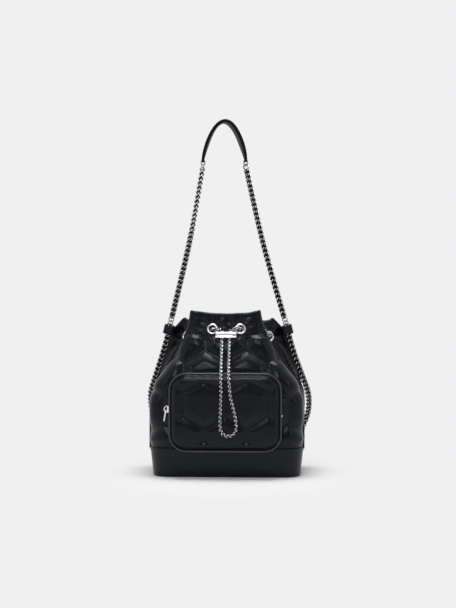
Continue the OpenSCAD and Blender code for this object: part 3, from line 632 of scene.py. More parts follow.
def channel_distance(x, y):
    """Distance from a point to the nearest channel of a honeycomb, upright on its corners."""
    best = None
    row = math.floor(y / ROW_PITCH)
    for j in (row, row + 1):
        shift = CELL / 2 if j % 2 else 0.0
        dx = abs(x - shift - CELL * round((x - shift) / CELL))
        dy = abs(y - j * ROW_PITCH)
        if best is None or dx * dx + dy * dy < best[0]:
            best = (dx * dx + dy * dy, max(dx, dx / 2 + dy * math.sqrt(3) / 2))
    return CELL / 2 - best[1]


def pad_rise(x, y, rise, reach):
    """Height of the padding: full in the middle of a cell, steep within reach of its channel."""
    t = min(1.0, max(0.0, channel_distance(x, y) - GROOVE) / reach)
    return rise * (1 - (1 - t) ** 2)


def crumple(p, size, seed):
    """Soft unevenness from -1 to 1, the same each time."""
    return noise.noise(Vector(p) / size + Vector((seed, 2.3 * seed, 0)))


print("honeycomb rows", round(ROW_PITCH, 1), "mm apart")


# %% Eyelet places and what pulls round them
EYELET_Q = {"front": 0.33454, "flank": 1.52, "outer": 2.5, "back": 3.82}
EYELET_DROP = 20


def eyelet_place(q):
    z = mouth_z(q) - EYELET_DROP
    return wall(q, z), wall_normal(q, z)


EYELETS = {name: [eyelet_place(s * q) for s in (-1, 1)] for name, q in EYELET_Q.items()}
EYELET_SPOTS = [at for pair in EYELETS.values() for at, _ in pair]
PLEATS, PLEAT_RISE, PLEAT_REACH, PLEAT_FROM, PLEAT_TO = 9, 0.9, 15.0, 8.5, 60
RIM_ROUND, RIM_WAVE, RIM_WAVE_SIZE = 30, 1.1, 11


def pull_wrinkles(p):
    """Pleats that fan out round each eyelet where the drawstring pulls."""
    rise = 0.0
    for at in EYELET_SPOTS:
        away = p - at
        r = away.length
        if PLEAT_FROM < r < PLEAT_TO:
            turn = math.atan2(away.z, Vector((away.x, away.y)).length * math.copysign(1, away.x))
            rise += PLEAT_RISE * math.cos(PLEATS * turn) * math.exp((PLEAT_FROM - r) / PLEAT_REACH)
    return rise


def rim_z(q):
    """Height of the mouth edge with the slight waves of soft leather."""
    turn = math.pi * q / 4
    at = (RIM_ROUND * math.cos(turn), RIM_ROUND * math.sin(turn), 0)
    return mouth_z(q) + RIM_WAVE * crumple(at, RIM_WAVE_SIZE, 4.4)


print("eyelets:", len(EYELET_SPOTS))

# %% Wall panels
WALL_ROWS, WALL_FOOT, HOLE_R = 116, 2.0, 5.4
HEM, HEM_RISE, HEM_EDGE = 27.0, 0.8, 0.6
SEAM_IN, SEAM_RUN = 1.0, 7
FACE_SPAN, SIDE_SPAN = 100, 45
PADS_BELOW_HEM, PADS_ABOVE_BASE, PADS_OFF_SEAM = 9, (2, 14), 16
LOOSE_OFF_SEAM, LOOSE_ABOVE_BASE, LOOSE_SIZE, FINE_SIZE, FINE_SHARE = 9, 14, 34, 14, 0.35
WALL_T = leather_t - 0.3


def wall_panel(name, q0, q1, columns, node, puff, slack, row_z):
    """One leather panel between two places: a grid, quilted, with its eyelet holes and thickness."""
    bm = bmesh.new()
    bmesh.ops.create_grid(bm, x_segments=columns, y_segments=WALL_ROWS, size=0.5)
    place_of = {}
    for v in bm.verts:
        q = place_of[v] = mix(q0, q1, v.co.x + 0.5)
        v.co = soft_wall(q, mix(base_h - WALL_FOOT, rim_z(q), v.co.y + 0.5))
    bm.normal_update()
    middle = (q0 + q1) / 2
    facing = middle in (0, 4)
    rise = {}
    for v, q in place_of.items():
        across = v.co.x
        if not facing:
            across = (v.co - soft_wall(middle, v.co.z)).length * math.copysign(1, q - middle)
        above, below = v.co.z - base_h, mouth_z(q) - v.co.z
        edge = min(abs(q - q0), abs(q1 - q)) * (FACE_SPAN if facing else SIDE_SPAN)
        pads = puff * pad_rise(across, v.co.z - row_z, CELL_RISE, CELL_REACH)
        pads *= smoothstep(HEM, HEM + PADS_BELOW_HEM, below)
        pads *= smoothstep(*PADS_ABOVE_BASE, above) * smoothstep(0, PADS_OFF_SEAM, edge)
        hem = HEM_RISE * (1 - smoothstep(HEM - HEM_EDGE, HEM + HEM_EDGE, below))
        seam = SEAM_IN * (1 - smoothstep(-WALL_FOOT, SEAM_RUN, above))
        free = smoothstep(0, LOOSE_OFF_SEAM, edge) * smoothstep(0, LOOSE_ABOVE_BASE, above)
        loose = slack * (crumple(v.co, LOOSE_SIZE, 3.1) + FINE_SHARE * crumple(v.co, FINE_SIZE, 7.7))
        rise[v] = pads + hem - seam + free * (loose + pull_wrinkles(v.co))
    for v, h in rise.items():
        v.co += v.normal * h
    holes = [f for f in bm.faces
             if any((f.calc_center_median() - at).length < HOLE_R for at in EYELET_SPOTS)]
    bmesh.ops.delete(bm, geom=holes, context="FACES")
    ob = piece(name, bm, quilted, stands_for=(node,))
    thicken(ob, WALL_T)


FRONT_ROW, OTHER_ROW = 133 - ROW_PITCH, 143 - ROW_PITCH
wall_panel("front_wall", -1, 1, 128, "front_panel", 1.0, 0.8, FRONT_ROW)
wall_panel("back_wall", 3, 5, 132, "back_panel", 1.0, 0.8, OTHER_ROW)
wall_panel("right_side_wall", 1, 3, 84, "right_gusset", 0.4, 0.9, OTHER_ROW)
wall_panel("left_side_wall", -3, -1, 84, "left_gusset", 0.4, 0.9, OTHER_ROW)


# %% [markdown]
# ## Base, seams and lining
# The smooth band round the base is one folded strip: it draws in towards the floor, turns under with a
# round edge and is top-stitched along its upper edge, which stands a little proud of the wall. A grid
# closed into a ring takes that profile. Welts cover the four upright seams, a soft roll finishes the
# mouth, and the lining is a sleeve of cloth inside.


# %% Stitches
def stitches(line, outs, pitch=3.4, long=2.5, thick=0.7):
    """Thread along a line, one small spindle for each stitch, half sunk in the leather."""
    count = max(2, round(length_of(line) / pitch))
    at, out_line = places(line, 2 * count), places(outs, 2 * count)
    size = Matrix.Diagonal((long / 2, thick / 2, thick / 2, 1))
    parts = bmesh.new()
    for k in range(1, 2 * count, 2):
        ahead = (at[k + 1] - at[k - 1]).normalized()
        up = out_line[k] - at[k]
        up = (up - ahead * up.dot(ahead)).normalized()
        turn = Matrix((ahead, up.cross(ahead), up)).transposed().to_4x4()
        bmesh.ops.create_uvsphere(parts, u_segments=6, v_segments=4, radius=1,
                                  matrix=Matrix.Translation(at[k]) @ turn @ size)
    return parts


# %% Base band
BAND_STEPS, BAND_LAP, EDGE_PROUD, LEAST_R = 176, 1.8, 0.7, 4
BAND_WAVE, BAND_WAVE_SIZE, BAND_STITCH = 0.25, 40, 3.2


def band_in(z):
    """How far the band lies inside the base outline at a height."""
    under = 1 - min(1.0, z / base_edge)
    return base_draw * (1 - z / base_h) + base_edge * (1 - math.sqrt(1 - under * under))


def base_ring(steps, inset, z):
    """Points all the way round the base, inset from its outline, with the first one again at the end."""
    sizes = base_w - 2 * inset, base_d - 2 * inset, max(base_r - inset, LEAST_R)
    return [Vector((*whole_outline(k, steps, *sizes), z)) for k in range(steps + 1)]


def band_profile():
    """Insets and heights up the outside of the band, over its top edge and down the inside."""
    turned = [base_edge * (1 - math.cos(math.radians(15 * k))) for k in range(7)]
    up = [(band_in(z), z) for z in turned + [base_h * t for t in (0.3, 0.45, 0.6, 0.75, 0.86)]]
    top = base_h + BAND_LAP - 0.9
    fold = [(-EDGE_PROUD * 0.6, top - 1.4), (-EDGE_PROUD, top - 0.5), (-EDGE_PROUD * 0.8, top + 0.4),
            (-EDGE_PROUD * 0.2, top + 0.9), (0.5, top + 0.7), (0.9, top - 1), (leather_t, top - 6)]
    inside = [(leather_t + band_in(z), z) for z in (14, 4)]
    return up + fold + inside


band_rings = [base_ring(BAND_STEPS, *level) for level in band_profile()]
band = closed_up(laid_grid(BAND_STEPS, len(band_rings) - 1, lambda a, b: band_rings[
    round(b * (len(band_rings) - 1))][round(a * BAND_STEPS) % BAND_STEPS]))
for v in band.verts:
    v.co += v.normal * BAND_WAVE * crumple(v.co, BAND_WAVE_SIZE, 1.7) * smoothstep(2, 10, v.co.z)
piece("base_band_leather", band, smooth, stands_for=("base_band",))
stitch_z = base_h + BAND_LAP - BAND_STITCH
stitch_rows = [base_ring(BAND_STEPS, inset, stitch_z) for inset in (band_in(stitch_z) - 0.25, -4)]
piece("base_band_stitching", stitches(*stitch_rows), thread)

# %% Bottom leather and floor of the lining
PLATE_STEPS, CROWN_IN = 96, 16


def rounded_plate(inset, low, high, crown, edge):
    """A flat rounded plate with softened edges and a slight crown."""
    bm = bmesh.new()
    bmesh.ops.create_circle(bm, segments=PLATE_STEPS, radius=1, cap_ends=True)
    bm.verts.ensure_lookup_table()
    for v, at in zip(bm.verts, base_ring(PLATE_STEPS, inset, low)):
        v.co = at
    bmesh.ops.extrude_face_region(bm, geom=bm.faces[:])
    for v in bm.verts[PLATE_STEPS:]:
        v.co.z = high
    rims = [e for e in bm.edges if abs(e.verts[0].co.z - e.verts[1].co.z) < 1e-6]
    bmesh.ops.bevel(bm, geom=rims, offset=edge, segments=2, profile=0.5, affect="EDGES", material=-1)
    top = [f for f in bm.faces if f.normal.z > 0.9 and len(f.verts) > 8]
    bmesh.ops.inset_region(bm, faces=top, thickness=CROWN_IN, depth=crown)
    bmesh.ops.recalc_face_normals(bm, faces=bm.faces)
    return bm


panel_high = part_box("base_panel")[1] / MM
floor_low, floor_high = (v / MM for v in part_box("lining_floor"))
piece("bottom_leather", rounded_plate(base_w / 2 - panel_high.x, 0, panel_high.z, 0, 0.6), smooth,
      stands_for=("base_panel",))
piece("lining_bottom", rounded_plate(base_w / 2 - floor_high.x, floor_low.z, floor_high.z, 0.4, 0.25), cloth,
      stands_for=("lining_floor",))

# %% Lining
LINING_IN, LINING_SLACK, LINING_TOP = leather_t + 0.6, 0.8, 0.74
LINING_COLUMNS, LINING_ROWS, LINING_LIFT, LINING_WAVE = 150, 56, 0.4, 30


def lining_point(k, t):
    """The lining hangs inside the walls, with soft slack, and meets its floor."""
    q = -4 + 8 * k / LINING_COLUMNS
    z = mix(floor_low.z + LINING_LIFT, mix(base_h, mouth_z(q), LINING_TOP), t)
    if z < base_h:
        inset = band_in(z) + LINING_IN
        p = outline(share_of(abs(q)), base_w - 2 * inset, base_d - 2 * inset, max(base_r - inset, LEAST_R))
        return Vector((math.copysign(p.x, q), p.y, z))
    p = soft_wall(q, z)
    return p - flat_normal(q, z) * (LINING_IN + LINING_SLACK * (1 + crumple(p, LINING_WAVE, 9.2)))


sleeve = closed_up(laid_grid(LINING_COLUMNS, LINING_ROWS, lambda a, t: lining_point(
    round(a * LINING_COLUMNS) % LINING_COLUMNS, t)), near=1e-4)
lining_area = sum(f.calc_area() for f in sleeve.faces) * MM * MM
lining = piece("lining_sleeve", sleeve, cloth, stands_for=("lining",))

# %% Welts and mouth edge
WELT_R, WELT_OUT, SEAM_STEPS = 1.1, 0.6, 60
EDGE_R, EDGE_IN, EDGE_STEPS = 1.5, 0.7, 320


def welt(q):
    """A thin raised welt along one upright seam."""
    heights = [mix(base_h - 0.5, mouth_z(q) - 0.6, t) for t in shares_to(SEAM_STEPS)]
    line = [soft_wall(q, z) + wall_normal(q + 0.001, z) * WELT_OUT for z in heights]
    out = (soft_wall(q, 60) - Vector((0, 0, 60))).normalized()
    return swept(line, frames(line, out), round_section(WELT_R, 8))


def mouth_edge():
    """The turned edge of the mouth, a soft roll all the way round."""
    line = []
    for k in range(EDGE_STEPS):
        q = -4 + 8 * (k + 0.5) / EDGE_STEPS
        z = rim_z(q)
        line.append(soft_wall(q, z - 0.5) - flat_normal(q, z - 4) * EDGE_IN)
    return swept_ring(line, (0, 0, 1), round_section(EDGE_R, 10))


piece("front_welts", joined([welt(-1), welt(1)]), edging)
piece("back_welts", joined([welt(-3), welt(3)]), edging)
piece("mouth_edge_roll", mouth_edge(), edging)

# %% Hem stitching
HEM_SPANS = ((-0.94, 0.94), (1.06, 1.94), (2.06, 2.94), (3.06, 4.94), (-1.94, -1.06), (-2.94, -2.06))
HEM_STITCH = 2.2


def hem_line(q0, q1, away):
    """A line along the hem seam between two places, lifted off the wall."""
    line = []
    for t in shares_to(SEAM_STEPS):
        q = mix(q0, q1, t)
        z = mouth_z(q) - HEM + HEM_STITCH
        line.append(soft_wall(q, z) + wall_normal(q, z) * away)
    return line


hem_rows = [stitches(hem_line(a, b, HEM_RISE), hem_line(a, b, 6)) for a, b in HEM_SPANS]
piece("hem_stitching", joined(hem_rows), thread)

# %% [markdown]
# ## Eyelets
# An eyelet is a pressed metal ring: a rounded face in front, a barrel through the leather and a washer
# behind. A torus would lack the barrel and the washer, so the whole profile is spun once round, and the
# ring is set on the wall at each place, facing along the wall's normal.


# %% Eyelet rings
def placed(bm, at, up, side=(1, 0, 0)):
    """Turns a shape so that its Z axis points along up and its X axis near side, and moves it."""
    z = Vector(up).normalized()
    y = z.cross(Vector(side)).normalized()
    turn = Matrix((y.cross(z), y, z)).transposed().to_4x4()
    bmesh.ops.transform(bm, matrix=Matrix.Translation(at) @ turn, verts=bm.verts)
    return bm


EYELET_PROFILE = [(7.3, 0.3), (7.25, 1.0), (6.75, 1.7), (5.9, 2.0), (5.1, 1.8), (4.5, 1.2), (4.2, 0.3),
                  (4.1, -3.2), (4.6, -4.0), (7.0, -4.0), (7.4, -3.6), (7.0, -3.2), (4.7, -3.0), (4.7, 0.1)]
EYELET_STEPS, BORE = 28, (4.3, 5.3)
EYELET_SETS = {"front_eyelets": ("front",), "side_eyelets": ("flank", "outer"), "back_eyelets": ("back",)}


def eyelet_ring():
    """The profile of (radius, height) spun round the Z axis, with its bore marked for painted shade."""
    bm = bmesh.new()
    ring = [bm.verts.new((r, 0, h)) for r, h in EYELET_PROFILE]
    edges = [bm.edges.new(pair) for pair in zip(ring, ring[1:] + ring[:1])]
    bmesh.ops.spin(bm, geom=ring + edges, axis=(0, 0, 1), cent=(0, 0, 0), angle=2 * math.pi,
                   steps=EYELET_STEPS, use_merge=True)
    closed_up(bm)
    # Painted shade: the bore is marked here so that the metal is painted near-black inside it.
    painted_shade = bm.verts.layers.float.new("painted_shade")
    for v in bm.verts:
        v[painted_shade] = 1 - smoothstep(*BORE, math.hypot(v.co.x, v.co.y))
    return bm


for node, names in EYELET_SETS.items():
    rings = [placed(eyelet_ring(), at, normal) for name in names for at, normal in EYELETS[name]]
    piece(node.replace("eyelets", "eyelet_rings"), joined(rings), silver, stands_for=(node,))

# %% [markdown]
# ## Chains
# A curb chain has oval links of round wire, each twisted about a quarter turn along its length, so that
# every link lies the same way and the chain is flat. One link is a circle spun into a ring, stretched
# into an oval and twisted, then set from joint to joint along the route.

# %% One link and a chain of them
LINK_STEPS, QUARTER, INNER_SIDE = 12, 45, (-0.35, 0.6)


def curb_link(pitch, width, wire, sides, steps=LINK_STEPS, slim=0.0, twist=QUARTER):
    """An oval link along Z between two joints, twisted both ways from its middle, its inner side marked for
    painted shade.
    """
    radius = (width - wire) / 2
    stretch = max(0.0, (pitch + wire) / 2 - radius)
    bm = bmesh.new()
    turn = Matrix.Rotation(math.pi / steps, 4, "Y") @ Matrix.Translation((radius, 0, 0))
    made = bmesh.ops.create_circle(bm, segments=sides, radius=(wire - slim) / 2, matrix=turn)
    bmesh.ops.spin(bm, geom=made["verts"] + bm.edges[:], axis=(0, 1, 0), cent=(0, 0, 0),
                   angle=2 * math.pi, steps=steps, use_merge=True)
    bmesh.ops.remove_doubles(bm, verts=bm.verts, dist=MEET)
    # Painted shade: the inner side of the wire, facing the link's middle, is marked to be painted dark.
    painted_shade = bm.verts.layers.float.new("painted_shade")
    for v in bm.verts:
        v[painted_shade] = smoothstep(*INNER_SIDE, (radius - math.hypot(v.co.x, v.co.z)) / (wire / 2))
        v.co.z += math.copysign(stretch, v.co.z)
        roll = math.radians(twist) * max(-1.0, min(1.0, v.co.z / (pitch / 2)))
        v.co = Matrix.Rotation(roll, 3, "Z") @ v.co
    bmesh.ops.recalc_face_normals(bm, faces=bm.faces)
    return bm


def chain_between(joints, outs, width, wire, sides, slim=0.0, twist=QUARTER):
    """Links from joint to joint; outs gives the way that each link's flat face looks. Slim thins the first
    link, which needs room to turn in its neighbour."""
    links = []
    for a, b, out in zip(joints, joints[1:], outs):
        along = b - a
        link = curb_link(along.length, width, wire, sides, slim=0 if links else slim, twist=twist)
        links.append(placed(link, (a + b) / 2, along, along.cross(Vector(out))))
    return joined(links)


# %% [markdown]
# ## Drawstring
# The drawstring is one closed loop of fine chain. From the toggle it runs through the eyelets and round
# the inside of the mouth, comes back to the toggle, and hangs down over the pocket. Its route repeats the
# model's, so the links lie where the solids are. It is a limp cord that hangs, and ends in the object again.

# %% Route of the drawstring
STRAND_X = 4.8
hang_at, toggle_at = Vector((0, -89.1, 132)), Vector((0, -54.4664, 182))
strand_dir = Vector((0, -0.569412, -0.822052))
strand_top = toggle_at - strand_dir * 5.5
TURN_R, TURN_X, LOOP_LOW, LOOP_WAIST = 10, 4.4, 56, 106


def eyelet_in(q, depth):
    """A point behind the eyelet at a place, or in front of it, along the wall's normal."""
    at, normal = eyelet_place(q)
    return at - normal * depth


def loop_turn(degrees):
    g = math.radians(degrees)
    return Vector((TURN_X - TURN_R * math.cos(g), hang_at.y, LOOP_LOW + TURN_R * (1 - math.sin(g))))


def twins(line):
    """The same line on the other side, run the other way."""
    return [flipped(p, -1) for p in reversed(line)]


q_front, q_flank, q_outer, q_back = EYELET_Q.values()
to_right = Vector((STRAND_X, 0, 0))
run_right = route([
    strand_top + to_right - strand_dir * 2.6, strand_top + Vector((8.6, 1.8, 4.6)),
    eyelet_in(q_front, -5.2) + Vector((-4, 0, 0.5)), eyelet_in(q_front, -2), eyelet_in(q_front, 6),
    eyelet_in(q_front, 11).lerp(eyelet_in(q_flank, 11), 0.4), eyelet_in(q_flank, 6),
    eyelet_in(q_flank, -2.5), eyelet_in(q_outer, -2.5), eyelet_in(q_outer, 6),
    wall(3, mouth_z(3) - EYELET_DROP) - Vector((14, -4, 0)), eyelet_in(3.4, 9), eyelet_in(q_back, 7),
    eyelet_in(q_back, -3), eyelet_in(4, 0) + Vector((0, 4, 0))], 6)
run_all = run_right + twins(run_right)[1:]
strand_left = route([strand_top - to_right, hang_at - to_right], 8)
loop_line = route([
    hang_at - to_right, Vector((-STRAND_X, hang_at.y, LOOP_WAIST)), loop_turn(0) + Vector((0, 0, 17)),
    *(loop_turn(g) for g in (0, 45, 90, 135, 180)), loop_turn(180) + Vector((-2.3, 0, 19)),
    Vector((7, hang_at.y, LOOP_WAIST)), hang_at + to_right], 8)
cord_line = run_all + strand_left + loop_line[1:] + twins(strand_left)[1:] + [run_all[0]]
print("drawstring", round(length_of(cord_line)), "mm")

# %% Drawstring chain
CORD_W, CORD_WIRE, CORD_PITCH, CORD_ROLL, CORD_TWIST = 6.0, 1.3, 5.5, 90, 50
CORD_LIFT = Vector((0, 0, 0.35))
cord_joints = places(cord_line, round(length_of(cord_line) / CORD_PITCH))
cord_outs = []
for a, b in zip(cord_joints, cord_joints[1:]):
    away = Vector((a.x, a.y, 0)).normalized() + CORD_LIFT
    ahead = (b - a).normalized()
    away = (away - ahead * away.dot(ahead)).normalized()
    cord_outs.append(Matrix.Rotation(math.radians(CORD_ROLL), 3, ahead) @ away)
cord_chain = chain_between(cord_joints, cord_outs, CORD_W, CORD_WIRE, 6, twist=CORD_TWIST)
drawstring = piece("drawstring_chain", cord_chain, silver,
                   stands_for=("drawstring_run", "drawstring_strands", "drawstring_loop"))
print("drawstring links:", len(cord_outs))

# %% [markdown]
# ## Toggle
# The toggle is a short polished bar that slides on the two strands and holds the mouth closed. It is a
# block with softly bevelled edges and a lip along its lower side. A near-black block fills the groove between
# as painted shade, standing in for the groove's shadow.

# %% Toggle bar
TOGGLE_L, TOGGLE_H, TOGGLE_D, LIP_OUT, LIP_H, GROOVE_H = 28, 9.6, 9, 1.2, 1.5, 2.4


def bevelled_block(size, at, edge, segments=3):
    """A block with all its edges rounded."""
    bm = bmesh.new()
    bmesh.ops.create_cube(bm, size=1, matrix=Matrix.Translation(at) @ Matrix.Diagonal((*size, 1)))
    bmesh.ops.bevel(bm, geom=bm.edges[:], offset=edge, segments=segments, profile=0.5, affect="EDGES",
                    material=-1)
    return bm


strand_tilt = Matrix.Rotation(-math.acos(-strand_dir.z), 4, "X")
bar = joined([
    bevelled_block((TOGGLE_L - 1, TOGGLE_D - 0.6, TOGGLE_H - 2 * LIP_H), (0, 0, LIP_H), 1.2, segments=4),
    bevelled_block((TOGGLE_L, TOGGLE_D + LIP_OUT, LIP_H), (0, 0, (LIP_H - TOGGLE_H) / 2), 0.5)])
# Painted shade: a dark block in the groove stands in for the shadow there.
groove_shade = bevelled_block((TOGGLE_L - 2, TOGGLE_D - 1.6, GROOVE_H), (0, 0, 2.2 - TOGGLE_H / 2), 0.3)
for part in (bar, groove_shade):
    bmesh.ops.transform(part, matrix=Matrix.Translation(toggle_at) @ strand_tilt, verts=part.verts)
piece("toggle_block", bar, silver, body="toggle", stands_for=("toggle_bar",))
piece("toggle_groove_shade", groove_shade, moulded, body="toggle")

# %% [markdown]
# ## Strap
# From a ring at each back corner a chain climbs the side, passes through a leather keeper on the ear and
# goes on up to the shoulder pad. A leather lace is woven through the links. The lower chains stay on the
# bag; the upper ones swing with the strap from the joint just above the keeper. The links follow the
# model's route, but are twisted and closer together than its plain ovals.

# %% Strap routes
LOWER_LINKS, UPPER_LINKS, CHAIN_END, UPPER_SAG = 27, 34, 3.15, 3
SIDES = {"left": -1, "right": 1}
strap_pivot, keeper_at = Vector((76.5, 2, 201)), Vector((79.12, 3.05, 190))
keeper_dir = Vector((-5, -2, 21)).normalized()
anchor_pin, dring_dir = Vector((96.04, 56.04, 40)), Vector((0.2185, 0.2185, 0.9511))
chain_foot = anchor_pin + dring_dir * 6
half_w = base_w / 2
lower_line = route([
    chain_foot, chain_foot + dring_dir * 11, (half_w + 5, 57, 69), (half_w + 8, 46, 86),
    (half_w + 6.5, 32, 106), (half_w - 2, 18, 130), (half_w - 11, 9, 155), keeper_at - keeper_dir * 11,
    keeper_at, strap_pivot], 10)
ring_at = {s: Vector((s * 28.5 - 5, 2, 412)) for s in (-1, 1)}


def upper_line(s):
    a, b = flipped(strap_pivot, s), ring_at[s] - Vector((0, 0, CHAIN_END))
    return route([a, (a + b) / 2 - Vector((s * UPPER_SAG, 0, 0)), b], 24)


strap_runs = {}
for side, s in SIDES.items():
    strap_runs[side, "lower"] = places([flipped(p, s) for p in lower_line], LOWER_LINKS)[::-1]
    strap_runs[side, "upper"] = places(upper_line(s), UPPER_LINKS)
BODY_OF = {"lower": "bag", "upper": "strap"}
print("strap routes", {f"{side}_{run}": len(joints) - 1 for (side, run), joints in strap_runs.items()})

# %% Strap chains
LINK_W, LINK_WIRE, PIVOT_SLIM = 9.4, 2.3, 0.8
STRAP_TURN, TURN_SPAN = {("left", "upper"): 65, ("right", "upper"): -15}, (0.35, 0.7)


def strap_faces(joints, turn):
    """The way the chain's flat face looks at each joint; turn is how far it twists along its middle."""
    faces = []
    for k, (ahead, _, out) in enumerate(frames(joints, (0, -1, 0))):
        roll = math.radians(turn) * smoothstep(*TURN_SPAN, k / (len(joints) - 1))
        faces.append(Matrix.Rotation(roll, 3, ahead) @ out)
    return faces


strap_looks = {key: strap_faces(joints, STRAP_TURN.get(key, 0)) for key, joints in strap_runs.items()}
for (side, run), joints in strap_runs.items():
    chain = chain_between(joints, strap_looks[side, run], LINK_W, LINK_WIRE, 7, slim=PIVOT_SLIM)
    piece(f"{side}_{run}_links", chain, links_silver, body=BODY_OF[run], stands_for=(f"{side}_{run}_chain",))

# %% End rings
RING_W, RING_WIRE, RING_LONG = 7.0, 1.8, 8.1
end_rings = [placed(curb_link(RING_LONG - RING_WIRE, RING_W, RING_WIRE, 8, steps=24, twist=0), at, (0, 0, 1))
             for at in ring_at.values()]
piece("strap_end_rings", joined(end_rings), silver, body="strap", stands_for=("strap_rings",))

# %% Woven laces
LACE_W, LACE_T, LACE_SWING, LACE_BACK, LACE_FINE = 4.4, 1.4, 0.9, 0.7, 8
LACE_START = {"lower": 0.5, "upper": 0.65}


def lace(joints, faces, start):
    """A flat lace that passes behind each joint and swells to the front in the middle of each link."""
    line, looks = [], []
    for k in range(round(start * LACE_FINE), (len(joints) - 2) * LACE_FINE + 1):
        u = k / LACE_FINE
        i = min(int(u), len(joints) - 2)
        out = faces[i].lerp(faces[i + 1], u - i)
        swing = -LACE_BACK - LACE_SWING * math.cos(2 * math.pi * u)
        line.append(joints[i].lerp(joints[i + 1], u - i) + out * swing)
        looks.append(out)
    axes = []
    for k, out in enumerate(looks):
        ahead = line[min(k + 1, len(line) - 1)] - line[max(k - 1, 0)]
        side = out.cross(ahead).normalized()
        axes.append((ahead, side, ahead.cross(side).normalized()))
    return swept(line, axes, strap_section(LACE_W, LACE_T, across=4))


for (side, run), joints in strap_runs.items():
    woven = lace(joints, strap_looks[side, run], LACE_START[run])
    piece(f"{side}_{run}_woven_lace", woven, strapping, body=BODY_OF[run], stands_for=(f"{side}_{run}_lace",))

# %% [markdown]
# ## Keepers and anchor tabs
# A keeper is a strip of leather folded into a loop round the chain and sewn to the ear. The strip's flat
# section is carried round a small rounded square. The anchor tab at the back corner is a folded strap: a
# rolled top holds the ring, and a plate below it is sewn to the base.

# %% Keepers
KEEPER_IN, KEEPER_T, KEEPER_H, KEEPER_CORNER, KEEPER_STEPS = 10.2, 1.8, 12.0, 2.4, 48
KEEPER_STITCH = KEEPER_H / 2 - 1.6


def square_ring(size, radius, z=0.0):
    """A closed rounded square at a height."""
    return [Vector((*whole_outline(k, KEEPER_STEPS, size, size, radius), z)) for k in range(KEEPER_STEPS)]


def keeper():
    line = square_ring(KEEPER_IN + KEEPER_T, KEEPER_CORNER)
    return swept_ring(line, (0, -1, 0), strap_section(KEEPER_H, KEEPER_T))


def keeper_thread(rise):
    """A row of stitches round the keeper at a height."""
    rings = [square_ring(KEEPER_IN + 2 * KEEPER_T + 2 * out, KEEPER_CORNER + 0.9, rise) for out in (0.05, 4)]
    return stitches(*(ring + ring[:1] for ring in rings), pitch=2.6, long=1.8, thick=0.5)


for side, s in SIDES.items():
    at, up = flipped(keeper_at, s), flipped(keeper_dir, s)
    piece(f"{side}_keeper", placed(keeper(), at, up), smooth, stands_for=(f"{side}_loop",))
    rows = [placed(keeper_thread(h * KEEPER_STITCH), at, up) for h in (-1, 1)]
    piece(f"{side}_keeper_stitching", joined(rows), thread)

# %% Anchor tabs
TAB_W, TAB_T, TAB_H, TAB_BACK = 14.0, 3.4, 18.0, -4.2
BARREL_R, BARREL_L = 3.1, 9.67
NECK_SIZE, NECK_AT = (BARREL_L, 3.6, 4.2), (0, -2.4, -1.4)
UP = Vector((0, 0, 1))


def anchor_tab():
    """The sewn plate and the rolled loop above it, at the pin, facing along Y."""
    plate = bevelled_block((TAB_W, TAB_T, TAB_H), (0, TAB_BACK, -TAB_H / 2), 0.8)
    line = [Vector((mix(-0.5, 0.5, t) * BARREL_L, 0, 0)) for t in shares_to(8)]
    loop = swept(line, frames(line, UP), round_section(BARREL_R, 20))
    neck = bevelled_block(NECK_SIZE, NECK_AT, 0.7)
    return joined([plate, loop, neck])


for side, s in SIDES.items():
    tab = placed(anchor_tab(), flipped(anchor_pin, s), UP, Vector((s, 1, 0)).normalized().cross(UP))
    bmesh.ops.recalc_face_normals(tab, faces=tab.faces)
    piece(f"{side}_anchor_leather", tab, smooth, stands_for=(f"{side}_anchor_tab",))

# %% [markdown]
# ## Shoulder pad
# The pad is two layers of leather sewn together, wide over the shoulder and narrow at the end rings. One
# flat section with round edges follows the arch, and a short tail at each end takes the ring.

# %% Rules of the pad
PAD_MID, PAD_RUN, PAD_RISE, PAD_POINT, PAD_FOOT = -5.0, 28.5, 51.0, 1.7, 416.4
PAD_W, PAD_END_W, PAD_T, PAD_PLUMP, PAD_TAIL = 20.0, 7.0, 3.6, 0.6, 3.2
PAD_STEPS, PAD_TURN, PAD_TURN_SPAN, PAD_TAPER, PAD_NEAR = 96, 14, (0.2, 0.6), 4.5, 0.01


def pad_at(t):
    g = math.pi * min(1.0, max(0.0, t))
    return Vector((PAD_MID - PAD_RUN * math.cos(g), 2,
                   PAD_FOOT + PAD_RISE * max(0.0, math.sin(g)) ** PAD_POINT))


def pad_across(t):
    """The way across the pad, which turns a little on its right half."""
    turn = math.radians(PAD_TURN) * smoothstep(*PAD_TURN_SPAN, t)
    return Vector((-math.sin(turn), math.cos(turn), 0))


def pad_out(t):
    """The way the pad's outer face looks."""
    return (pad_at(t + PAD_NEAR) - pad_at(t - PAD_NEAR)).cross(pad_across(t)).normalized()


def pad_size(t):
    """Width and thickness of the pad, full in its middle."""
    full = smoothstep(0, 1, min(1, PAD_TAPER * min(t, 1 - t)))
    return mix(PAD_END_W, PAD_W, full), PAD_T + PAD_PLUMP * full


print("pad top at", round(pad_at(0.5).z, 1), "mm")

# %% Pad
THREAD_STEPS, THREAD_IN, THREAD_SPAN = 120, 2, (0.08, 0.92)


def pad_body():
    """The two layers as one plump strip, with a short end below each ring pin."""
    ts = [0, *shares_to(PAD_STEPS), 1]
    line = [pad_at(t) for t in ts]
    for end in (line[0], line[-1]):
        end.z -= PAD_TAIL
    axes = [(None, pad_across(t), pad_out(t)) for t in ts]
    return swept(line, axes, lambda i: strap_section(*pad_size(ts[i]), soft=0.42))


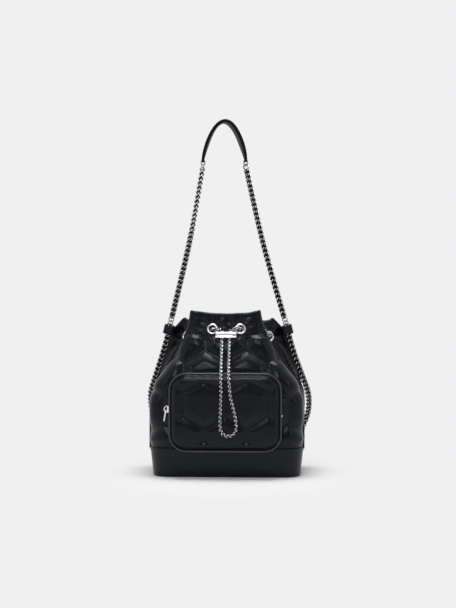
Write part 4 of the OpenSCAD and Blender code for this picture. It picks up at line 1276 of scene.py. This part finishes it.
def pad_thread(edge):
    """Stitches along one edge of the pad."""
    rows = [[], []]
    for t in (mix(*THREAD_SPAN, share) for share in shares_to(THREAD_STEPS)):
        width, thick = pad_size(t)
        for row, lift in zip(rows, (0.1, 5)):
            row.append(pad_at(t) + pad_out(t) * (thick / 2 + lift)
                       + pad_across(t) * edge * (width / 2 - THREAD_IN))
    return stitches(*rows, pitch=3.0, long=2.2, thick=0.6)


pad = piece("shoulder_pad_leather", pad_body(), strapping, body="shoulder_pad",
            stands_for=("pad_outer", "pad_backing"))
piece("shoulder_pad_stitching", joined([pad_thread(-1), pad_thread(1)]), thread, body="shoulder_pad")

# %% [markdown]
# ## Front pocket
# The pocket is a shallow box: a padded quilted front edged with piping, and a side wall of two leather
# strips with a zip between them. Each strip follows one rounded rectangle. The front is a grid pressed
# into that outline and crowned, with the channels of the honeycomb pressed in.

# %% Pocket sides and piping
POCKET_W, POCKET_H, POCKET_R, POCKET_Z, POCKET_STEPS = 142.0, 99.0, 22.0, 85.5, 200
BACK_Y, TAPE_BACK_Y, TAPE_FRONT_Y, FRONT_Y = -60.1, -66.1, -72.5, -77.5
STRIP_T, TAPE_T, TAPE_IN = 1.6, 0.8, 0.4
PIPING_R, PIPING_Y = 1.2, -79.6


def pocket_ring(inset, y):
    """Points round the pocket at a depth, from the bottom middle to the right and up."""
    sizes = POCKET_W - 2 * inset, POCKET_H - 2 * inset, POCKET_R - inset
    ring = [whole_outline(k, POCKET_STEPS, *sizes) for k in range(POCKET_STEPS)]
    return [Vector((p.x, y, POCKET_Z + p.y)) for p in ring]


def pocket_strip(inset, y0, y1, thick):
    section = strap_section(abs(y1 - y0), thick, soft=0.4)
    return swept_ring(pocket_ring(inset + thick / 2, (y0 + y1) / 2), (0, 0, -1), section)


piece("pocket_back_strip", pocket_strip(0, BACK_Y, TAPE_BACK_Y, STRIP_T), smooth,
      stands_for=("pocket_strip_back",))
piece("pocket_zip_tape", pocket_strip(TAPE_IN, TAPE_BACK_Y, TAPE_FRONT_Y, TAPE_T), tape,
      stands_for=("zip_tape",))
piece("pocket_front_strip", pocket_strip(0, TAPE_FRONT_Y, FRONT_Y, STRIP_T), smooth,
      stands_for=("pocket_strip_front",))
piping = swept_ring(pocket_ring(0, PIPING_Y), (0, 0, -1), round_section(PIPING_R, 12))
piece("pocket_edge_piping", piping, edging, stands_for=("pocket_piping",))

# %% Rules of the pocket front
FACE_IN, FACE_BACK = 2.1, -77.6
FACE_A, FACE_B, FACE_R = POCKET_W / 2 - FACE_IN, POCKET_H / 2 - FACE_IN, POCKET_R - FACE_IN
FACE_CROWN = [(0, 0.3), (1.0, 0.8), (2.2, 3.4), (3.6, 5.2), (6.5, 6.3), (13, 7.1), (26, 7.6), (60, 7.8)]
FACE_RISE, FACE_REACH, FACE_QUILT_FROM = 2.8, 9.0, (5, 12)
FACE_LOOSE, FACE_LOOSE_FROM = 0.35, (6, 14)
POCKET_QUILT_Z = 97 - ROW_PITCH


def face_point(u, v):
    """Lays a point of a square, -1 to 1 each way, into the rounded outline."""
    m = max(abs(u), abs(v))
    core = Vector((FACE_A - FACE_R, FACE_B - FACE_R)) * m
    past = Vector((abs(u) * FACE_A - core.x, abs(v) * FACE_B - core.y))
    if past.x > 0 and past.y > 0:
        past = past.normalized() * FACE_R * m
    return math.copysign(core.x + past.x, u), math.copysign(core.y + past.y, v)


def face_inset(x, z):
    """Distance inwards from the outline."""
    q = Vector((abs(x) - FACE_A + FACE_R, abs(z) - FACE_B + FACE_R))
    return FACE_R - Vector((max(q.x, 0), max(q.y, 0))).length - min(max(q.x, q.y), 0)


def face_crown(inset):
    for (x0, y0), (x1, y1) in zip(FACE_CROWN, FACE_CROWN[1:]):
        if inset <= x1:
            return mix(y0, y1, smoothstep(x0, x1, inset))
    return FACE_CROWN[-1][1]


def face_rise(x, z):
    """How far the padded front stands out: its crown, less its channels, with a little slack."""
    inset = face_inset(x, z)
    quilt = pad_rise(x, z + POCKET_Z - POCKET_QUILT_Z, FACE_RISE, FACE_REACH) - FACE_RISE
    loose = FACE_LOOSE * crumple((x, 0, z), 26, 5.3) * smoothstep(*FACE_LOOSE_FROM, inset)
    return face_crown(inset) + quilt * smoothstep(*FACE_QUILT_FROM, inset) + loose


print("pocket front", 2 * FACE_A, "by", 2 * FACE_B, "mm")

# %% Padded pocket front
FACE_COLUMNS, FACE_ROWS, FACE_TURN, FACE_T = 140, 104, 0.6, 1.6
face = bmesh.new()
bmesh.ops.create_grid(face, x_segments=FACE_COLUMNS, y_segments=FACE_ROWS, size=1)
for v in face.verts:
    x, z = face_point(v.co.x, v.co.y)
    v.co = Vector((x, FACE_BACK - face_rise(x, z), POCKET_Z + z))
rim = bmesh.ops.extrude_edge_only(face, edges=[e for e in face.edges if e.is_boundary])
turned = [g for g in rim["geom"] if isinstance(g, bmesh.types.BMVert)]
bmesh.ops.translate(face, vec=(0, FACE_TURN, 0), verts=turned)
bmesh.ops.recalc_face_normals(face, faces=face.faces)
if sum(f.normal.y * f.calc_area() for f in face.faces) > 0:
    bmesh.ops.reverse_faces(face, faces=face.faces)
pocket_face = piece("pocket_front_leather", face, quilted, stands_for=("pocket_front",))
thicken(pocket_face, FACE_T)

# %% [markdown]
# ## Zip
# The zip is two rows of small moulded teeth on a woven tape, up both sides of the pocket and over its
# top. A tooth is a small flattened bead, because hundreds of finer shapes would show no more.

# %% Zip teeth
TEETH_Y, TEETH_OUT, TEETH_PITCH, TEETH_END = -69.3, -0.9, 1.7, 82.0
TOOTH_ROW, TOOTH_SIZE = 0.55, Matrix.Diagonal((1.15, 0.72, 0.95, 1))
teeth_ring = [p for p in pocket_ring(TEETH_OUT, TEETH_Y) if p.z >= TEETH_END - 0.5]
teeth_at = places(teeth_ring, round(length_of(teeth_ring) / TEETH_PITCH))
teeth = bmesh.new()
for k, (ahead, across, out) in enumerate(frames(teeth_at, (1, 0, 0))):
    at = teeth_at[k] + across * (TOOTH_ROW if k % 2 else -TOOTH_ROW)
    turn = Matrix((across, ahead, out)).transposed().to_4x4()
    bmesh.ops.create_uvsphere(teeth, u_segments=6, v_segments=4, radius=1,
                              matrix=Matrix.Translation(at) @ turn @ TOOTH_SIZE)
piece("zip_teeth", teeth, moulded, stands_for=("zip_coil",))

# %% [markdown]
# ## What stays from the model
# The anchor rings, the zip's stops, slider and pull, and the board in the base already have their real
# shape, so their solids stay and only get a finish.

# %% Finish
KEPT = {"left_dring": links_silver, "right_dring": links_silver, "zip_stops": silver, "zip_slider": silver,
        "zip_pull": silver, "base_board": board}
for node, finish in KEPT.items():
    nodes[node].data.materials.clear()
    nodes[node].data.materials.append(finish)
print("kept solids:", len(KEPT))
